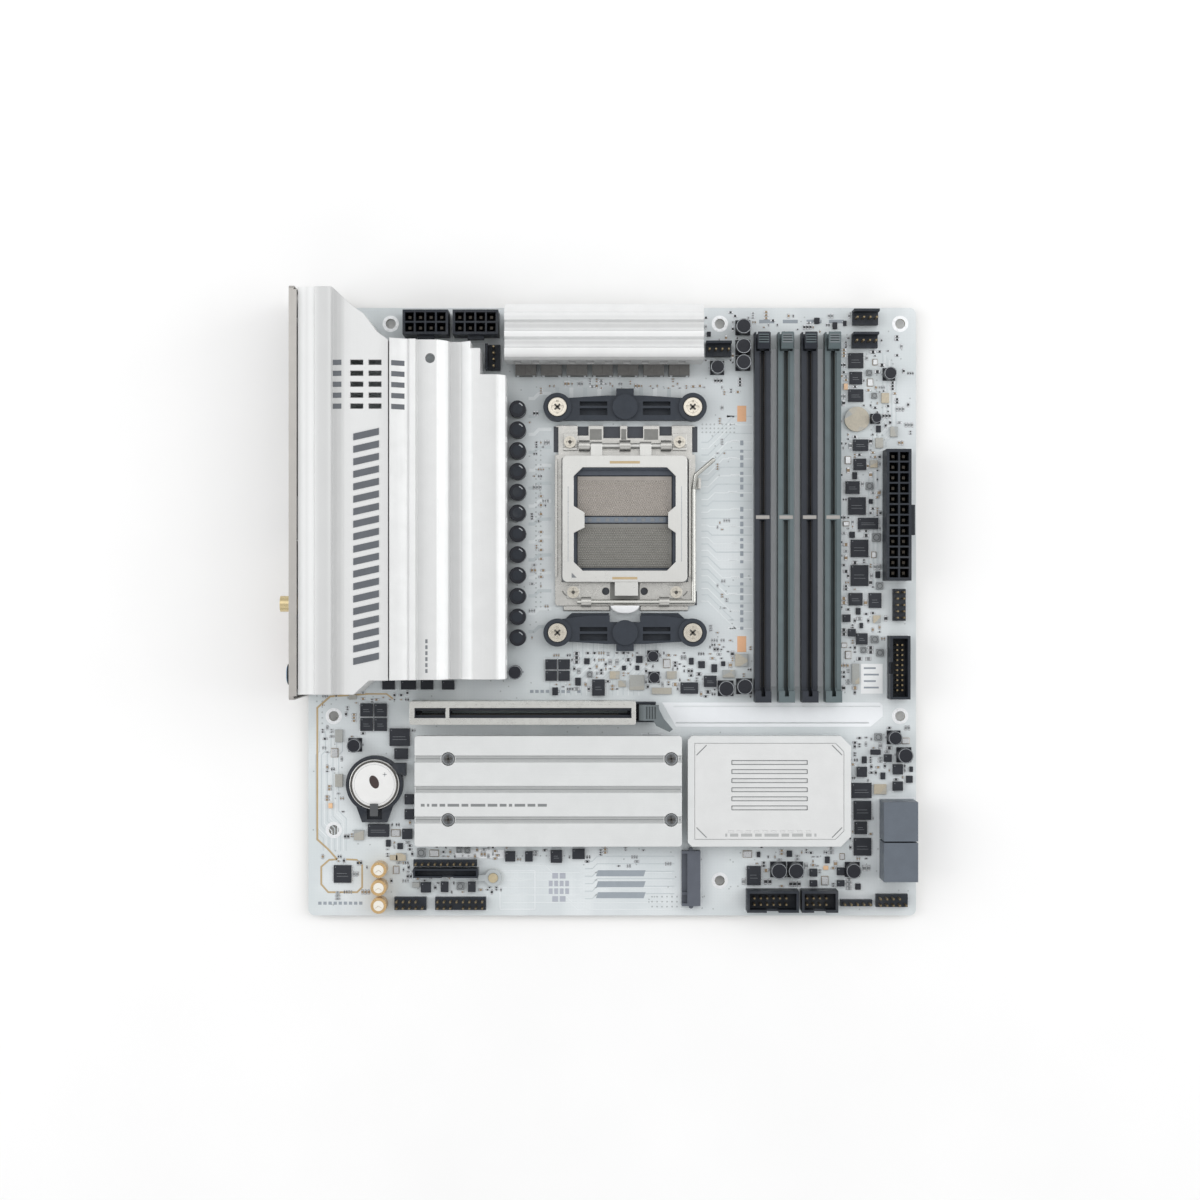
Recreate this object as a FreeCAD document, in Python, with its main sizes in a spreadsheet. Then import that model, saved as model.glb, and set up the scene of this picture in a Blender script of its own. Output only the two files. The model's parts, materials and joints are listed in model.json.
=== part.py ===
"""Micro-ATX desktop motherboard, built as an assembly of separate pieces.

Frame: millimetres, +Z out of the component side. The origin is the centre of the rear mounting hole beside the
rear connector block, on the underside of the circuit board (the plane that rests on the case standoffs).
-X is the rear edge with the connectors, +Y is the edge with the processor power connectors.
Coordinates in this file are written about the centre of the board outline, and every piece gets the same
Placement that carries the board centre to its place in the frame.
"""
import FreeCAD, Part
import math
import os

V = FreeCAD.Vector
doc = FreeCAD.newDocument("Motherboard")
sheet = doc.addObject("Spreadsheet::Sheet", "Dims")

# ---------------------------------------------------------------- driving dimensions
CELLS = [
    # board
    ("board_size", 243.84), ("pcb_thick", 1.6), ("corner_rad", 2.5), ("hole_rad", 1.98),
    ("datum_dx", 111.76), ("datum_dy", 41.91),
    # mounting holes, about the board centre
    ("hole_a_x", -88.9), ("hole_top_y", 115.57), ("hole_mid_x", 43.18), ("hole_front_x", 115.57),
    ("hole_rear_x", -111.76), ("hole_row_two_y", -41.91), ("hole_row_three_y", -87.63), ("hole_low_y", -107.95),
    # rear shield and cover
    ("aperture_len", 158.75), ("shield_high", 44.0), ("shield_low_z", -2.2), ("shield_x", -124.0),
    ("shield_sheet", 0.5), ("shield_rim", 3.0), ("shield_y", -33.6),
    ("cover_top_z", 41.0), ("cover_wall", 1.8), ("cover_x_left", -120.8), ("cover_x_right", -86.2),
    # power stage heatsinks
    ("heatsink_low_y", -26.2), ("heatsink_len", 131.6), ("top_sink_x", -42.2), ("top_sink_len", 77.8),
    ("choke_side", 8.2), ("choke_high", 6.8), ("choke_pitch", 10.2), ("stage_high", 1.0), ("pad_high", 0.8),
    ("can_rad", 3.3), ("can_high", 8.0), ("can_pitch", 8.21),
    # processor socket
    ("socket_x", 5.1), ("socket_y", 36.7), ("cooler_dx", 54.0), ("cooler_dy", 90.0), ("package_side", 40.3),
    ("socket_wide", 50.0), ("socket_long", 49.0), ("socket_high", 4.4), ("plate_thick", 1.2),
    ("plate_hinge_y", 66.4), ("plate_hinge_z", 5.0), ("lever_rad", 0.9), ("lever_y", 4.0), ("lever_z", 5.0),
    ("backplate_thick", 2.2), ("bracket_high", 6.2),
    # memory slots
    ("dimm_x", 59.9), ("dimm_pitch", 9.35), ("dimm_wide", 6.4), ("dimm_high", 6.8), ("dimm_low_y", -36.0),
    ("dimm_len", 139.8), ("dimm_groove", 1.6), ("dimm_groove_deep", 4.6), ("dimm_key_y", 37.7), ("dimm_key", 2.2),
    ("dimm_pivot_y", 107.2), ("dimm_pivot_z", 4.4), ("dimm_latch_wide", 4.6),
    # expansion slot
    ("pcie_x", -79.6), ("pcie_len", 88.2), ("pcie_y", -40.05), ("pcie_wide", 7.4), ("pcie_high", 11.2),
    ("pcie_groove", 1.8), ("pcie_pivot_x", 13.2), ("pcie_pivot_z", 4.6),
    # storage heatsinks
    ("m_sink_x", -78.5), ("m_sink_y", -93.2), ("m_sink_len", 106.1), ("m_sink_wide", 43.9), ("m_sink_z", 6.0),
    ("m_sink_high", 5.4), ("chip_sink_x", 30.0), ("chip_sink_len", 64.7), ("m_socket_long", 22.0),
    # connectors
    ("power_pitch", 4.2), ("power_cell", 3.5), ("power_high", 12.8), ("power_pin", 1.1),
    ("sata_long", 15.5), ("sata_deep", 13.5), ("sata_high", 13.6), ("pin_side", 0.64), ("pin_pitch", 2.54),
    ("battery_rad", 10.0), ("battery_thick", 3.2), ("battery_x", -95.1), ("battery_y", -69.0),
    ("button_rad", 1.6), ("button_travel", 0.8),
]
cells = {}
for row, (alias, number) in enumerate(CELLS, 1):
    sheet.set(f"A{row}", alias)
    sheet.set(f"B{row}", repr(float(number)))
    sheet.setAlias(f"B{row}", alias)
    cells[alias] = float(number)
doc.recompute()


class Q:
    """A size that knows its number and the spreadsheet expression that drives it."""

    def __init__(self, number, text):
        self.n, self.t = float(number), text

    def _both(self, other, sign):
        o = other if isinstance(other, Q) else Q(other, repr(float(other)))
        return o, sign

    def __add__(self, o):
        o = o if isinstance(o, Q) else Q(o, f"({float(o)!r})")
        return Q(self.n + o.n, f"({self.t} + {o.t})")

    def __sub__(self, o):
        o = o if isinstance(o, Q) else Q(o, f"({float(o)!r})")
        return Q(self.n - o.n, f"({self.t} - {o.t})")

    def __radd__(self, o):
        return Q(float(o) + self.n, f"({float(o)!r} + {self.t})")

    def __rsub__(self, o):
        return Q(float(o) - self.n, f"({float(o)!r} - {self.t})")

    def __mul__(self, k):
        return Q(self.n * k, f"({self.t} * ({float(k)!r}))")

    __rmul__ = __mul__

    def __neg__(self):
        return self * -1.0


def d(alias):
    return Q(cells[alias], "Dims." + alias)


def num(a):
    return a.n if isinstance(a, Q) else float(a)


def bind(obj, prop, a):
    if isinstance(a, Q):
        obj.setExpression(prop, a.t)


T = d("pcb_thick")
NODES = []


def node(obj, label):
    """Marks a finished sub-part: its label names its file, and it gets the Placement of the board."""
    obj.Label = label
    obj.Placement = FreeCAD.Placement(V(cells["datum_dx"], cells["datum_dy"], 0), FreeCAD.Rotation())
    obj.setExpression("Placement.Base.x", "Dims.datum_dx")
    obj.setExpression("Placement.Base.y", "Dims.datum_dy")
    NODES.append(obj)
    return obj


# ---------------------------------------------------------------- sketch and feature helpers
def body(name):
    return doc.addObject("PartDesign::Body", name)


def sketch(b, role, at, name="Sketch"):
    """A sketch on one of the body's origin planes, moved to the coordinate `at` along that plane's axis."""
    s = b.newObject("Sketcher::SketchObject", name)
    plane = next(f for f in b.Origin.OriginFeatures if f.Role == role + "_Plane")
    s.AttachmentSupport = [(plane, "")]
    s.MapMode = "FlatFace"
    sign = -1.0 if role == "XZ" else 1.0
    s.AttachmentOffset = FreeCAD.Placement(V(0, 0, sign * num(at)), FreeCAD.Rotation())
    if isinstance(at, Q):
        s.setExpression("AttachmentOffset.Base.z", (at * sign).t)
    return s


def _fix(s, cons, names, geo, pt, x, y):
    for kind, a, axis in (("DistanceX", x, -2), ("DistanceY", y, -1)):
        if abs(num(a)) < 1e-9 and not isinstance(a, Q):
            import Sketcher
            cons.append(Sketcher.Constraint("PointOnObject", geo, pt, axis))
            names.append(None)
        else:
            import Sketcher
            cons.append(Sketcher.Constraint(kind, -1, 1, geo, pt, num(a)))
            names.append(a if isinstance(a, Q) else None)


def _commit(s, cons, names):
    first = s.ConstraintCount
    s.addConstraint(cons)
    for i, a in enumerate(names):
        if isinstance(a, Q):
            s.setExpression(f"Constraints[{first + i}]", a.t)


def poly(s, pts):
    """A closed polygon whose corners are all placed from the origin."""
    import Sketcher
    n = len(pts)
    p = [V(num(x), num(y), 0) for x, y in pts]
    g0 = s.GeometryCount
    s.addGeometry([Part.LineSegment(p[i], p[(i + 1) % n]) for i in range(n)], False)
    cons, names = [], []
    for i in range(n):
        cons.append(Sketcher.Constraint("Coincident", g0 + i, 2, g0 + (i + 1) % n, 1))
        names.append(None)
    for i, (x, y) in enumerate(pts):
        _fix(s, cons, names, g0 + i, 1, x, y)
    _commit(s, cons, names)


def rect(s, x, y, w, h):
    """A rectangle from its lower-left corner, width and height."""
    import Sketcher
    X, Y, W, H = num(x), num(y), num(w), num(h)
    p = [V(X, Y, 0), V(X + W, Y, 0), V(X + W, Y + H, 0), V(X, Y + H, 0)]
    g = s.GeometryCount
    s.addGeometry([Part.LineSegment(p[i], p[(i + 1) % 4]) for i in range(4)], False)
    C = Sketcher.Constraint
    cons = [C("Coincident", g + i, 2, g + (i + 1) % 4, 1) for i in range(4)]
    cons += [C("Horizontal", g), C("Horizontal", g + 2), C("Vertical", g + 1), C("Vertical", g + 3)]
    names = [None] * 8
    _fix(s, cons, names, g, 1, x, y)
    cons += [C("DistanceX", g, 1, g, 2, W), C("DistanceY", g + 1, 1, g + 1, 2, H)]
    names += [w, h]
    _commit(s, cons, names)


def circle(s, x, y, r):
    import Sketcher
    g = s.GeometryCount
    s.addGeometry(Part.Circle(V(num(x), num(y), 0), V(0, 0, 1), num(r)), False)
    cons, names = [], []
    _fix(s, cons, names, g, 3, x, y)
    cons.append(Sketcher.Constraint("Radius", g, num(r)))
    names.append(r)
    _commit(s, cons, names)


def rounded(s, x, y, w, h, r):
    """A rectangle with rounded corners, drawn as four lines and four arcs."""
    import Sketcher
    X, Y, W, H, R = num(x), num(y), num(w), num(h), num(r)
    g = s.GeometryCount
    c = [V(X + R, Y + R, 0), V(X + W - R, Y + R, 0), V(X + W - R, Y + H - R, 0), V(X + R, Y + H - R, 0)]
    q = math.pi / 2
    geo = [
        Part.LineSegment(V(X + R, Y, 0), V(X + W - R, Y, 0)),
        Part.ArcOfCircle(Part.Circle(c[1], V(0, 0, 1), R), 3 * q, 4 * q),
        Part.LineSegment(V(X + W, Y + R, 0), V(X + W, Y + H - R, 0)),
        Part.ArcOfCircle(Part.Circle(c[2], V(0, 0, 1), R), 0, q),
        Part.LineSegment(V(X + W - R, Y + H, 0), V(X + R, Y + H, 0)),
        Part.ArcOfCircle(Part.Circle(c[3], V(0, 0, 1), R), q, 2 * q),
        Part.LineSegment(V(X, Y + H - R, 0), V(X, Y + R, 0)),
        Part.ArcOfCircle(Part.Circle(c[0], V(0, 0, 1), R), 2 * q, 3 * q),
    ]
    s.addGeometry(geo, False)
    C = Sketcher.Constraint
    cons = []
    for i in range(8):
        a, b = g + i, g + (i + 1) % 8
        cons.append(C("Tangent", a, 2, b, 1))
    cons += [C("Horizontal", g), C("Horizontal", g + 4), C("Vertical", g + 2), C("Vertical", g + 6)]
    cons += [C("Equal", g + 1, g + 3), C("Equal", g + 1, g + 5), C("Equal", g + 1, g + 7), C("Radius", g + 1, R)]
    names = [None] * (len(cons) - 1) + [r]
    _fix(s, cons, names, g + 7, 3, x + r if isinstance(x, Q) else X + R, y + r if isinstance(y, Q) else Y + R)
    cons += [C("DistanceX", g + 7, 3, g + 1, 3, W - 2 * R), C("DistanceY", g + 1, 3, g + 3, 3, H - 2 * R)]
    names += [w - 2 * R if isinstance(w, Q) else None, h - 2 * R if isinstance(h, Q) else None]
    _commit(s, cons, names)


def pad(b, role, at, length, *draw):
    """Adds material from the plane at `at` towards the positive axis."""
    s = sketch(b, role, at)
    for f, *a in draw:
        f(s, *a)
    p = b.newObject("PartDesign::Pad", "Pad")
    p.Profile = s
    p.Length = num(length)
    bind(p, "Length", length)
    p.Reversed = role == "XZ"
    return p


def cut(b, role, at, length, *draw):
    """Removes material from the plane at `at` towards the positive axis."""
    doc.recompute()
    before = b.Shape.Volume
    s = sketch(b, role, at)
    for f, *a in draw:
        f(s, *a)
    p = b.newObject("PartDesign::Pocket", "Pocket")
    p.Profile = s
    p.Length = num(length)
    bind(p, "Length", length)
    p.Reversed = role != "XZ"
    doc.recompute()
    if b.Shape.Volume > before - 1e-6:
        raise SystemExit(f"{b.Name}: a pocket on {role} at {num(at)} removed nothing")
    return p


def dress(b, kind, size, pick):
    """A PartDesign Fillet or Chamfer on the edges that `pick` accepts."""
    doc.recompute()
    tip = b.Tip
    names = [f"Edge{i}" for i, e in enumerate(tip.Shape.Edges, 1) if pick(e)]
    if not names:
        raise SystemExit(f"{b.Name}: no edge to {kind}")
    f = b.newObject("PartDesign::" + kind, kind)
    f.Base = (tip, names)
    if kind == "Fillet":
        f.Radius = num(size)
        bind(f, "Radius", size)
    else:
        f.Size = num(size)
        bind(f, "Size", size)
    doc.recompute()
    return f


def vertical(e, tol=1e-4):
    a, b = e.Vertexes[0].Point, e.Vertexes[-1].Point
    return len(e.Vertexes) == 2 and abs(a.x - b.x) < tol and abs(a.y - b.y) < tol and abs(a.z - b.z) > tol


def level(e, z, tol=1e-3):
    return all(abs(v.Point.z - z) < tol for v in e.Vertexes)


def box(x, y, z, w, l, h, name="Box"):
    o = doc.addObject("Part::Box", name)
    for prop, a in (("Length", w), ("Width", l), ("Height", h)):
        setattr(o, prop, num(a))
        bind(o, prop, a)
    o.Placement = FreeCAD.Placement(V(num(x), num(y), num(z)), FreeCAD.Rotation())
    for prop, a in (("x", x), ("y", y), ("z", z)):
        bind(o, "Placement.Base." + prop, a)
    return o


TURN = {
    "Z": FreeCAD.Rotation(),
    "X": FreeCAD.Rotation(V(0, 1, 0), 90),
    "Y": FreeCAD.Rotation(V(1, 0, 0), -90),
}


def cyl(x, y, z, r, h, axis="Z", name="Cylinder"):
    """A cylinder that starts at the point and runs towards the positive axis."""
    o = doc.addObject("Part::Cylinder", name)
    o.Radius, o.Height = num(r), num(h)
    bind(o, "Radius", r)
    bind(o, "Height", h)
    o.Placement = FreeCAD.Placement(V(num(x), num(y), num(z)), TURN[axis])
    for prop, a in (("x", x), ("y", y), ("z", z)):
        bind(o, "Placement.Base." + prop, a)
    return o


def fuse(*parts):
    o = doc.addObject("Part::MultiFuse", "Fuse")
    o.Shapes = list(parts)
    return o


def minus(base, *tools):
    o = doc.addObject("Part::Cut", "Cut")
    o.Base = base
    o.Tool = tools[0] if len(tools) == 1 else fuse(*tools)
    return o


def common(a, b):
    o = doc.addObject("Part::Common", "Common")
    o.Base, o.Tool = a, b
    return o


def group(*parts):
    o = doc.addObject("Part::Compound", "Group")
    o.Links = list(parts)
    return o


def solids(name, shapes):
    """A group of many small repeated solids, made from the sheet's sizes."""
    o = doc.addObject("Part::Feature", name)
    o.Shape = Part.makeCompound(shapes)
    return o


def B(x, y, z, w, l, h):
    return Part.makeBox(num(w), num(l), num(h), V(num(x), num(y), num(z)))


def Cc(x, y, z, w, l, h):
    """A plain box shape about its centre in X and Y."""
    return B(num(x) - num(w) / 2, num(y) - num(l) / 2, z, w, l, h)


# ================================================================ circuit board
half = d("board_size") * 0.5
b = body("Pcb")
pad(b, "XY", 0, T, (rounded, -half, -half, d("board_size"), d("board_size"), d("corner_rad")))
HOLES = [(d("hole_a_x"), d("hole_top_y")), (d("hole_mid_x"), d("hole_top_y")), (d("hole_front_x"), d("hole_top_y")),
         (d("hole_rear_x"), d("hole_row_two_y")), (d("hole_front_x"), d("hole_row_two_y")),
         (d("hole_rear_x"), d("hole_row_three_y")), (d("hole_mid_x"), d("hole_low_y"))]
cut(b, "XY", 0, T, *[(circle, x, y, d("hole_rad")) for x, y in HOLES])
sx, sy = d("socket_x"), d("socket_y")
cx, cy = d("cooler_dx") * 0.5, d("cooler_dy") * 0.5
COOLER = [(sx - cx, sy - cy), (sx + cx, sy - cy), (sx - cx, sy + cy), (sx + cx, sy + cy)]
cut(b, "XY", 0, T, *[(circle, x, y, 2.6) for x, y in COOLER])
# screw holes: socket frame, power-stage heatsinks and chipset heatsink
FS = [(-16.9, 67.9), (26.9, 67.9), (-15.6, 7.8), (25.6, 7.8)]
SINKS = [(-60.3, -23.6), (-60.3, 99.4), (-40.0, 110.0), (33.4, 110.0), (39.6, -55.4), (39.6, -87.0), (83.4, -55.4), (83.4, -87.0)]
cut(b, "XY", 0, T, *[(circle, x, y, 1.5) for x, y in FS + SINKS])
node(b, "pcb")

# ================================================================ rear shield
# Each port: centre along the rear edge, centre height, width along the edge, height of the aperture.
PORTS = [(113.0, 5.6, 16.0, 7.4), (113.0, 15.6, 17.2, 8.0), (95.5, 9.2, 15.2, 16.4), (76.5, 9.2, 15.2, 16.4),
         (57.5, 6.0, 10.6, 4.8), (57.5, 15.0, 15.2, 8.2), (36.5, 16.6, 17.4, 30.6)]
JACKS = [(-24.0, 8.0), (-24.0, 20.6), (-24.0, 33.2), (-11.4, 8.0), (-11.4, 20.6)]
ANTENNAS = [(3.2, 12.0), (3.2, 26.0)]
BUTTON = (113.0, 27.0)
b = body("IoShield")
pad(b, "YZ", d("shield_x"), 1.9, (rounded, d("shield_y"), d("shield_low_z"), d("aperture_len"), d("shield_high"), 1.5))
cut(b, "YZ", d("shield_x") + d("shield_sheet"), 5.0,
    (rect, d("shield_y") + 0.5, d("shield_low_z") + 0.5, d("aperture_len") - 1.0, d("shield_high") - 1.0))
cut(b, "YZ", d("shield_x") - 1.0, 3.0, *[(rect, y - w / 2, z - h / 2, w, h) for y, z, w, h in PORTS])
cut(b, "YZ", d("shield_x") - 1.0, 3.0, *[(circle, y, z, 4.3) for y, z in JACKS])
cut(b, "YZ", d("shield_x") - 1.0, 3.0, *[(circle, y, z, 3.7) for y, z in ANTENNAS])
cut(b, "YZ", d("shield_x") - 1.0, 3.0, (circle, BUTTON[0], BUTTON[1], 2.1))
# deeper flange along the top, over the edge of the cover
pad(b, "YZ", d("shield_x"), 3.0, (rect, d("shield_y") + 1.5, d("shield_low_z") + d("shield_high") - 0.5, d("aperture_len") - 3.0, 0.5))
# rows of vent slots above the ports
vents = [(rect, 27.0 + 7.0 * k, 35.2, 4.6, 2.6) for k in range(13)]
vents += [(rect, 44.0 + 7.0 * k, 30.6, 4.6, 2.6) for k in range(9)]
cut(b, "YZ", d("shield_x") - 1.0, 3.0, *vents)
node(b, "io_shield")

# ================================================================ cover over the rear connectors
xl, xr, zt = d("cover_x_left"), d("cover_x_right"), d("cover_top_z")
b = body("IoCover")
OUT = [(xl, -31.6), (-99.4, -31.6), (-93.5, -26.2), (xr, -26.2), (xr, 104.6), (-90.7, 107.8), (-95.4, 114.4),
       (-100.2, 117.8), (-107.6, 124.8), (xl, 124.8)]
pad(b, "XY", 1.9, zt - 1.9, (poly, OUT))
w = cells["cover_wall"]
INN = [(xl + w, -31.6 + w), (-100.1, -31.6 + w), (-94.2, -26.2 + w), (xr - w, -26.2 + w), (xr - w, 103.8),
       (-92.0, 106.7), (-96.6, 113.1), (-101.2, 116.4), (-108.3, 123.0), (xl + w, 123.0)]
cut(b, "XY", 1.0, zt - 3.8, (poly, INN))
# open towards the rear shield, and towards the heatsink below the cover's top band
cut(b, "YZ", -122.0, 4.0, (rect, -31.6 + w, 1.0, 154.6, 36.6))
cut(b, "YZ", -90.0, 6.0, (rect, -27.0, 1.0, 130.2, 31.0))
# steps and grooves that run the length of the top
cut(b, "XZ", -40.0, 170.0, (poly, [(-122.0, 39.6), (-114.6, 39.6), (-113.8, 42.0), (-122.0, 42.0)]))
cut(b, "XZ", -40.0, 170.0, (poly, [(-108.4, 42.0), (-107.4, 39.8), (-105.8, 39.8), (-103.4, 40.5), (-103.4, 42.0)]))
cut(b, "XZ", -40.0, 170.0, (poly, [(-103.5, 40.5), (-86.0, 40.5), (-86.0, 42.0), (-103.5, 42.0)]))
# two columns of straight cooling slots through the flat band
cut(b, "XY", 37.0, 6.0, *[(rect, x, 78.0 + 4.2 * k, 5.0, 2.0) for x in (-100.6, -93.6) for k in range(5)])
node(b, "io_cover")

# inlay strips: dark bars set into the cover's flat band
bars = []
for k in range(19):
    y = -20.2 + 4.78 * k
    bars.append((poly, [(-99.4, y), (-89.6, y + 2.2), (-89.6, y + 4.8), (-99.4, y + 2.6)]))
b = body("CoverInlay")
pad(b, "XY", 40.5, 0.25, *bars)
node(b, "cover_inlay")

# ================================================================ left power-stage heatsink
hy = d("heatsink_low_y")
b = body("SinkLeft")
PROF = [(-85.8, 39.6), (-78.9, 35.2), (-78.3, 36.0), (-76.1, 36.0), (-75.5, 33.2), (-67.6, 33.2), (-64.0, 28.6),
        (-63.2, 25.4), (-59.2, 25.4), (-58.0, 26.4), (-54.5, 29.2), (-44.7, 29.2), (-41.8, 26.0), (-41.8, 9.4),
        (-54.2, 9.4), (-54.2, 3.4), (-66.4, 3.4), (-66.4, 9.4), (-68.6, 9.4), (-68.6, 30.0), (-83.2, 30.0),
        (-83.2, 14.0), (-85.8, 14.0)]
pad(b, "XZ", hy, d("heatsink_len"), (poly, PROF))
cut(b, "XY", 2.0, 40.0, (rect, -51.5, 92.4, 12.0, 16.0))
cut(b, "XY", 2.0, 40.0, (rect, -55.3, 102.6, 6.0, 6.0))
# cross cuts in the side that faces the processor
cut(b, "XY", 12.0, 9.0, *[(rect, -46.4, -21.0 + 8.0 * k, 6.0, 2.4) for k in range(14)])
cut(b, "XY", 30.0, 10.0, (circle, -70.6, 98.2, 1.9))
pad(b, "XY", T, 8.0, *[(circle, x, y, 2.3) for x, y in SINKS[:2]])
node(b, "vrm_heatsink_left")

# ================================================================ top power-stage heatsink
tx, tl = d("top_sink_x"), d("top_sink_len")
b = body("SinkTop")
PROFT = [(98.4, 9.4), (98.4, 26.0), (99.4, 27.6), (102.8, 27.6), (103.6, 25.6), (106.4, 25.6), (107.2, 28.0),
         (109.4, 28.0), (110.2, 25.8), (113.0, 25.8), (113.8, 28.0), (116.6, 28.0), (120.6, 22.4), (120.6, 9.4),
         (116.0, 9.4), (116.0, 3.4), (104.0, 3.4), (104.0, 9.4)]
pad(b, "YZ", tx, tl, (poly, PROFT))
cut(b, "XZ", 90.0, 12.0, *[(rect, -39.0 + 7.2 * k, 12.6, 3.0, 9.0) for k in range(10)])
cut(b, "XZ", 113.6, 12.0, *[(rect, -39.0 + 7.2 * k, 12.6, 3.0, 6.6) for k in range(10)])
pad(b, "XY", T, 8.0, *[(circle, x, y, 2.0) for x, y in SINKS[2:4]])
node(b, "vrm_heatsink_top")

# pads, power stages and chokes under the heatsinks
cs, ch = d("choke_side"), d("choke_high")
chokes, stages, pads = [], [], []
for k in range(11):
    y = -20.4 + cells["choke_pitch"] * k
    chokes.append(box(-53.2, y, T, cs, cs, ch))
    stages.append(box(-63.2, y + 1.2, T, 6.0, 5.6, d("stage_high")))
for k in range(7):
    x = -38.6 + cells["choke_pitch"] * k
    chokes.append(box(x, 94.2, T, cs, cs, ch))
    stages.append(box(x + 1.2, 107.0, T, 5.6, 6.0, d("stage_high")))
node(group(*chokes), "vrm_chokes")
zc, zs = T + ch, T + d("stage_high")
thermal = [box(-53.4, -20.6, zc, 8.6, 110.8, 1.0), box(-63.6, -20.6, zs, 6.8, 116.0, 0.8),
           box(-37.6, 98.6, zc, 68.0, 3.6, 1.0), box(-37.6, 106.6, zs, 68.0, 6.8, 0.8)]
# screws that hold the soldered-side heatsinks, driven from the underside
vs = [minus(fuse(cyl(x, y, -1.5, 2.5, 1.5), cyl(x, y, -0.4, 1.2, 1.9)), box(x - 1.9, y - 0.35, -2.0, 3.8, 0.7, 1.1),
            box(x - 0.35, y - 1.9, -2.0, 0.7, 3.8, 1.1)) for x, y in SINKS]
node(group(*vs), "heatsink_screws")

# ================================================================ capacitor columns
cr, chh = d("can_rad"), d("can_high")
cans = []
for k in range(12):
    cans.append(cyl(-37.7, -10.3 + 8.28 * k, T, cr, chh))
cans.append(cyl(-38.9, -24.2, T, 2.8, 6.5))

# ================================================================ processor socket
sw, sl, sh = d("socket_wide"), d("socket_long"), d("socket_high")
b = body("SocketBody")
pad(b, "XY", T, sh, (rounded, sx - sw * 0.5, sy - sl * 0.5, sw, sl, 1.5))
pk = d("package_side")
cut(b, "XY", T + 2.4, 6.0, (rect, sx - pk * 0.5, sy - pk * 0.5, pk, pk))
cut(b, "XY", T + 1.2, 6.0, (rect, -14.3, 38.0, 38.5, 16.6), (rect, -14.3, 17.2, 38.5, 18.4))
node(b, "socket_body")
node(group(box(-13.9, 38.4, T + 1.2, 37.7, 15.8, 0.9), box(-13.9, 17.6, T + 1.2, 37.7, 17.6, 0.9)), "socket_contacts")

# stamped steel frame with hinge loops at its top end and lever loops at its low end
hpy, hpz, ly, lz, lr = d("plate_hinge_y"), d("plate_hinge_z"), d("lever_y"), d("lever_z"), d("lever_rad")
b = body("FrameBase")
pad(b, "XY", T, 1.4, (rounded, -22.9, 2.4, 56.2, 72.2, 1.2))
cut(b, "XY", 1.0, 4.0, (rect, sx - sw * 0.5 - 0.3, sy - sl * 0.5 - 0.3, sw + 0.6, sl + 0.6))
cut(b, "XY", 1.0, 4.0, (rect, -13.9, 70.6, 4.4, 5.0), (rect, -3.6, 69.6, 6.8, 6.0), (rect, 6.0, 69.6, 6.4, 6.0),
    (rect, 18.9, 70.6, 5.0, 5.0))
cut(b, "XY", 1.0, 4.0, (rect, 0.2, 4.6, 9.8, 5.6))
cut(b, "XY", 1.0, 4.0, (rect, -24.0, 63.0, 2.4, 11.0), (rect, 32.0, 63.0, 2.4, 11.0))
pad(b, "XY", T, 3.6, (rect, -22.9, 14.0, 1.0, 47.0), (rect, 30.6, 14.0, 0.8, 47.0))
cut(b, "XY", 1.0, 4.0, (circle, -2.6, 8.2, 1.5), (circle, 12.8, 8.2, 1.5))
pad(b, "XY", T, 4.4, (poly, [(0.4, 2.5), (2.2, 0.6), (8.0, 0.6), (9.8, 2.5), (9.8, 2.7), (0.4, 2.7)]))
pad(b, "XY", T, 2.6, (rect, -19.6, 64.6, 5.6, 6.8), (rect, 24.2, 64.6, 5.6, 6.8), (rect, -18.2, 5.4, 5.2, 5.2),
    (rect, 23.0, 5.4, 5.2, 5.2))
cut(b, "XY", 1.0, 8.0, *[(circle, x, y, 1.3) for x, y in FS])
pad(b, "XY", T, 1.2, (rect, 32.6, 49.2, 2.8, 4.2))
pad(b, "XY", T, 4.4, (rect, 34.4, 49.2, 1.0, 4.2))
LOOPS = [(-13.4, 4.4), (2.9, 4.4), (19.4, 4.2)]
LLOOPS = [(-12.4, 4.0), (18.8, 4.0)]
loops = [cyl(x, hpy, hpz, 2.2, n, "X") for x, n in LOOPS] + [cyl(x, ly, lz, 2.0, n, "X") for x, n in LLOOPS]
loops += [box(x, hpy - 2.0, T + 1.2, n, 4.0, hpz - T - 1.2) for x, n in LOOPS]
loops += [box(x, ly - 1.8, T + 1.2, n, 3.6, lz - T - 1.2) for x, n in LLOOPS]
frame = minus(fuse(b, *loops), cyl(-20.0, hpy, hpz, 1.06, 50.0, "X"), cyl(-20.0, ly, lz, lr + 0.06, 50.0, "X"))
node(frame, "socket_frame")

# load plate: flat steel frame with two side tabs, arms to the hinge pin and a short tongue at the free end
b = body("PlateFlat")
pad(b, "XY", 6.5, d("plate_thick"), (rounded, -19.9, 11.9, 49.8, 50.4, 2.0))
cut(b, "XY", 6.0, 3.0, (poly, [(-11.8, 16.4), (21.8, 16.4), (25.3, 19.9), (25.3, 31.4), (22.3, 33.6), (22.3, 39.6),
                              (25.3, 42.2), (25.3, 54.1), (21.8, 57.6), (-11.8, 57.6), (-15.4, 54.1), (-15.4, 42.2),
                              (-11.1, 39.6), (-11.1, 33.6), (-15.4, 31.4), (-15.4, 19.9)]))
ARMS = [(-8.6, 4.6), (11.0, 4.6)]
parts = [b, cyl(-13.2, hpy, hpz, 1.0, 36.6, "X"), box(1.0, 6.4, 6.5, 9.2, 5.8, 1.0)]
parts += [cyl(x, hpy, hpz, 1.6, n, "X") for x, n in ARMS] + [box(x, 61.7, 5.3, n, hpy - 61.7, 1.3) for x, n in ARMS]
node(fuse(*parts), "load_plate")


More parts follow.
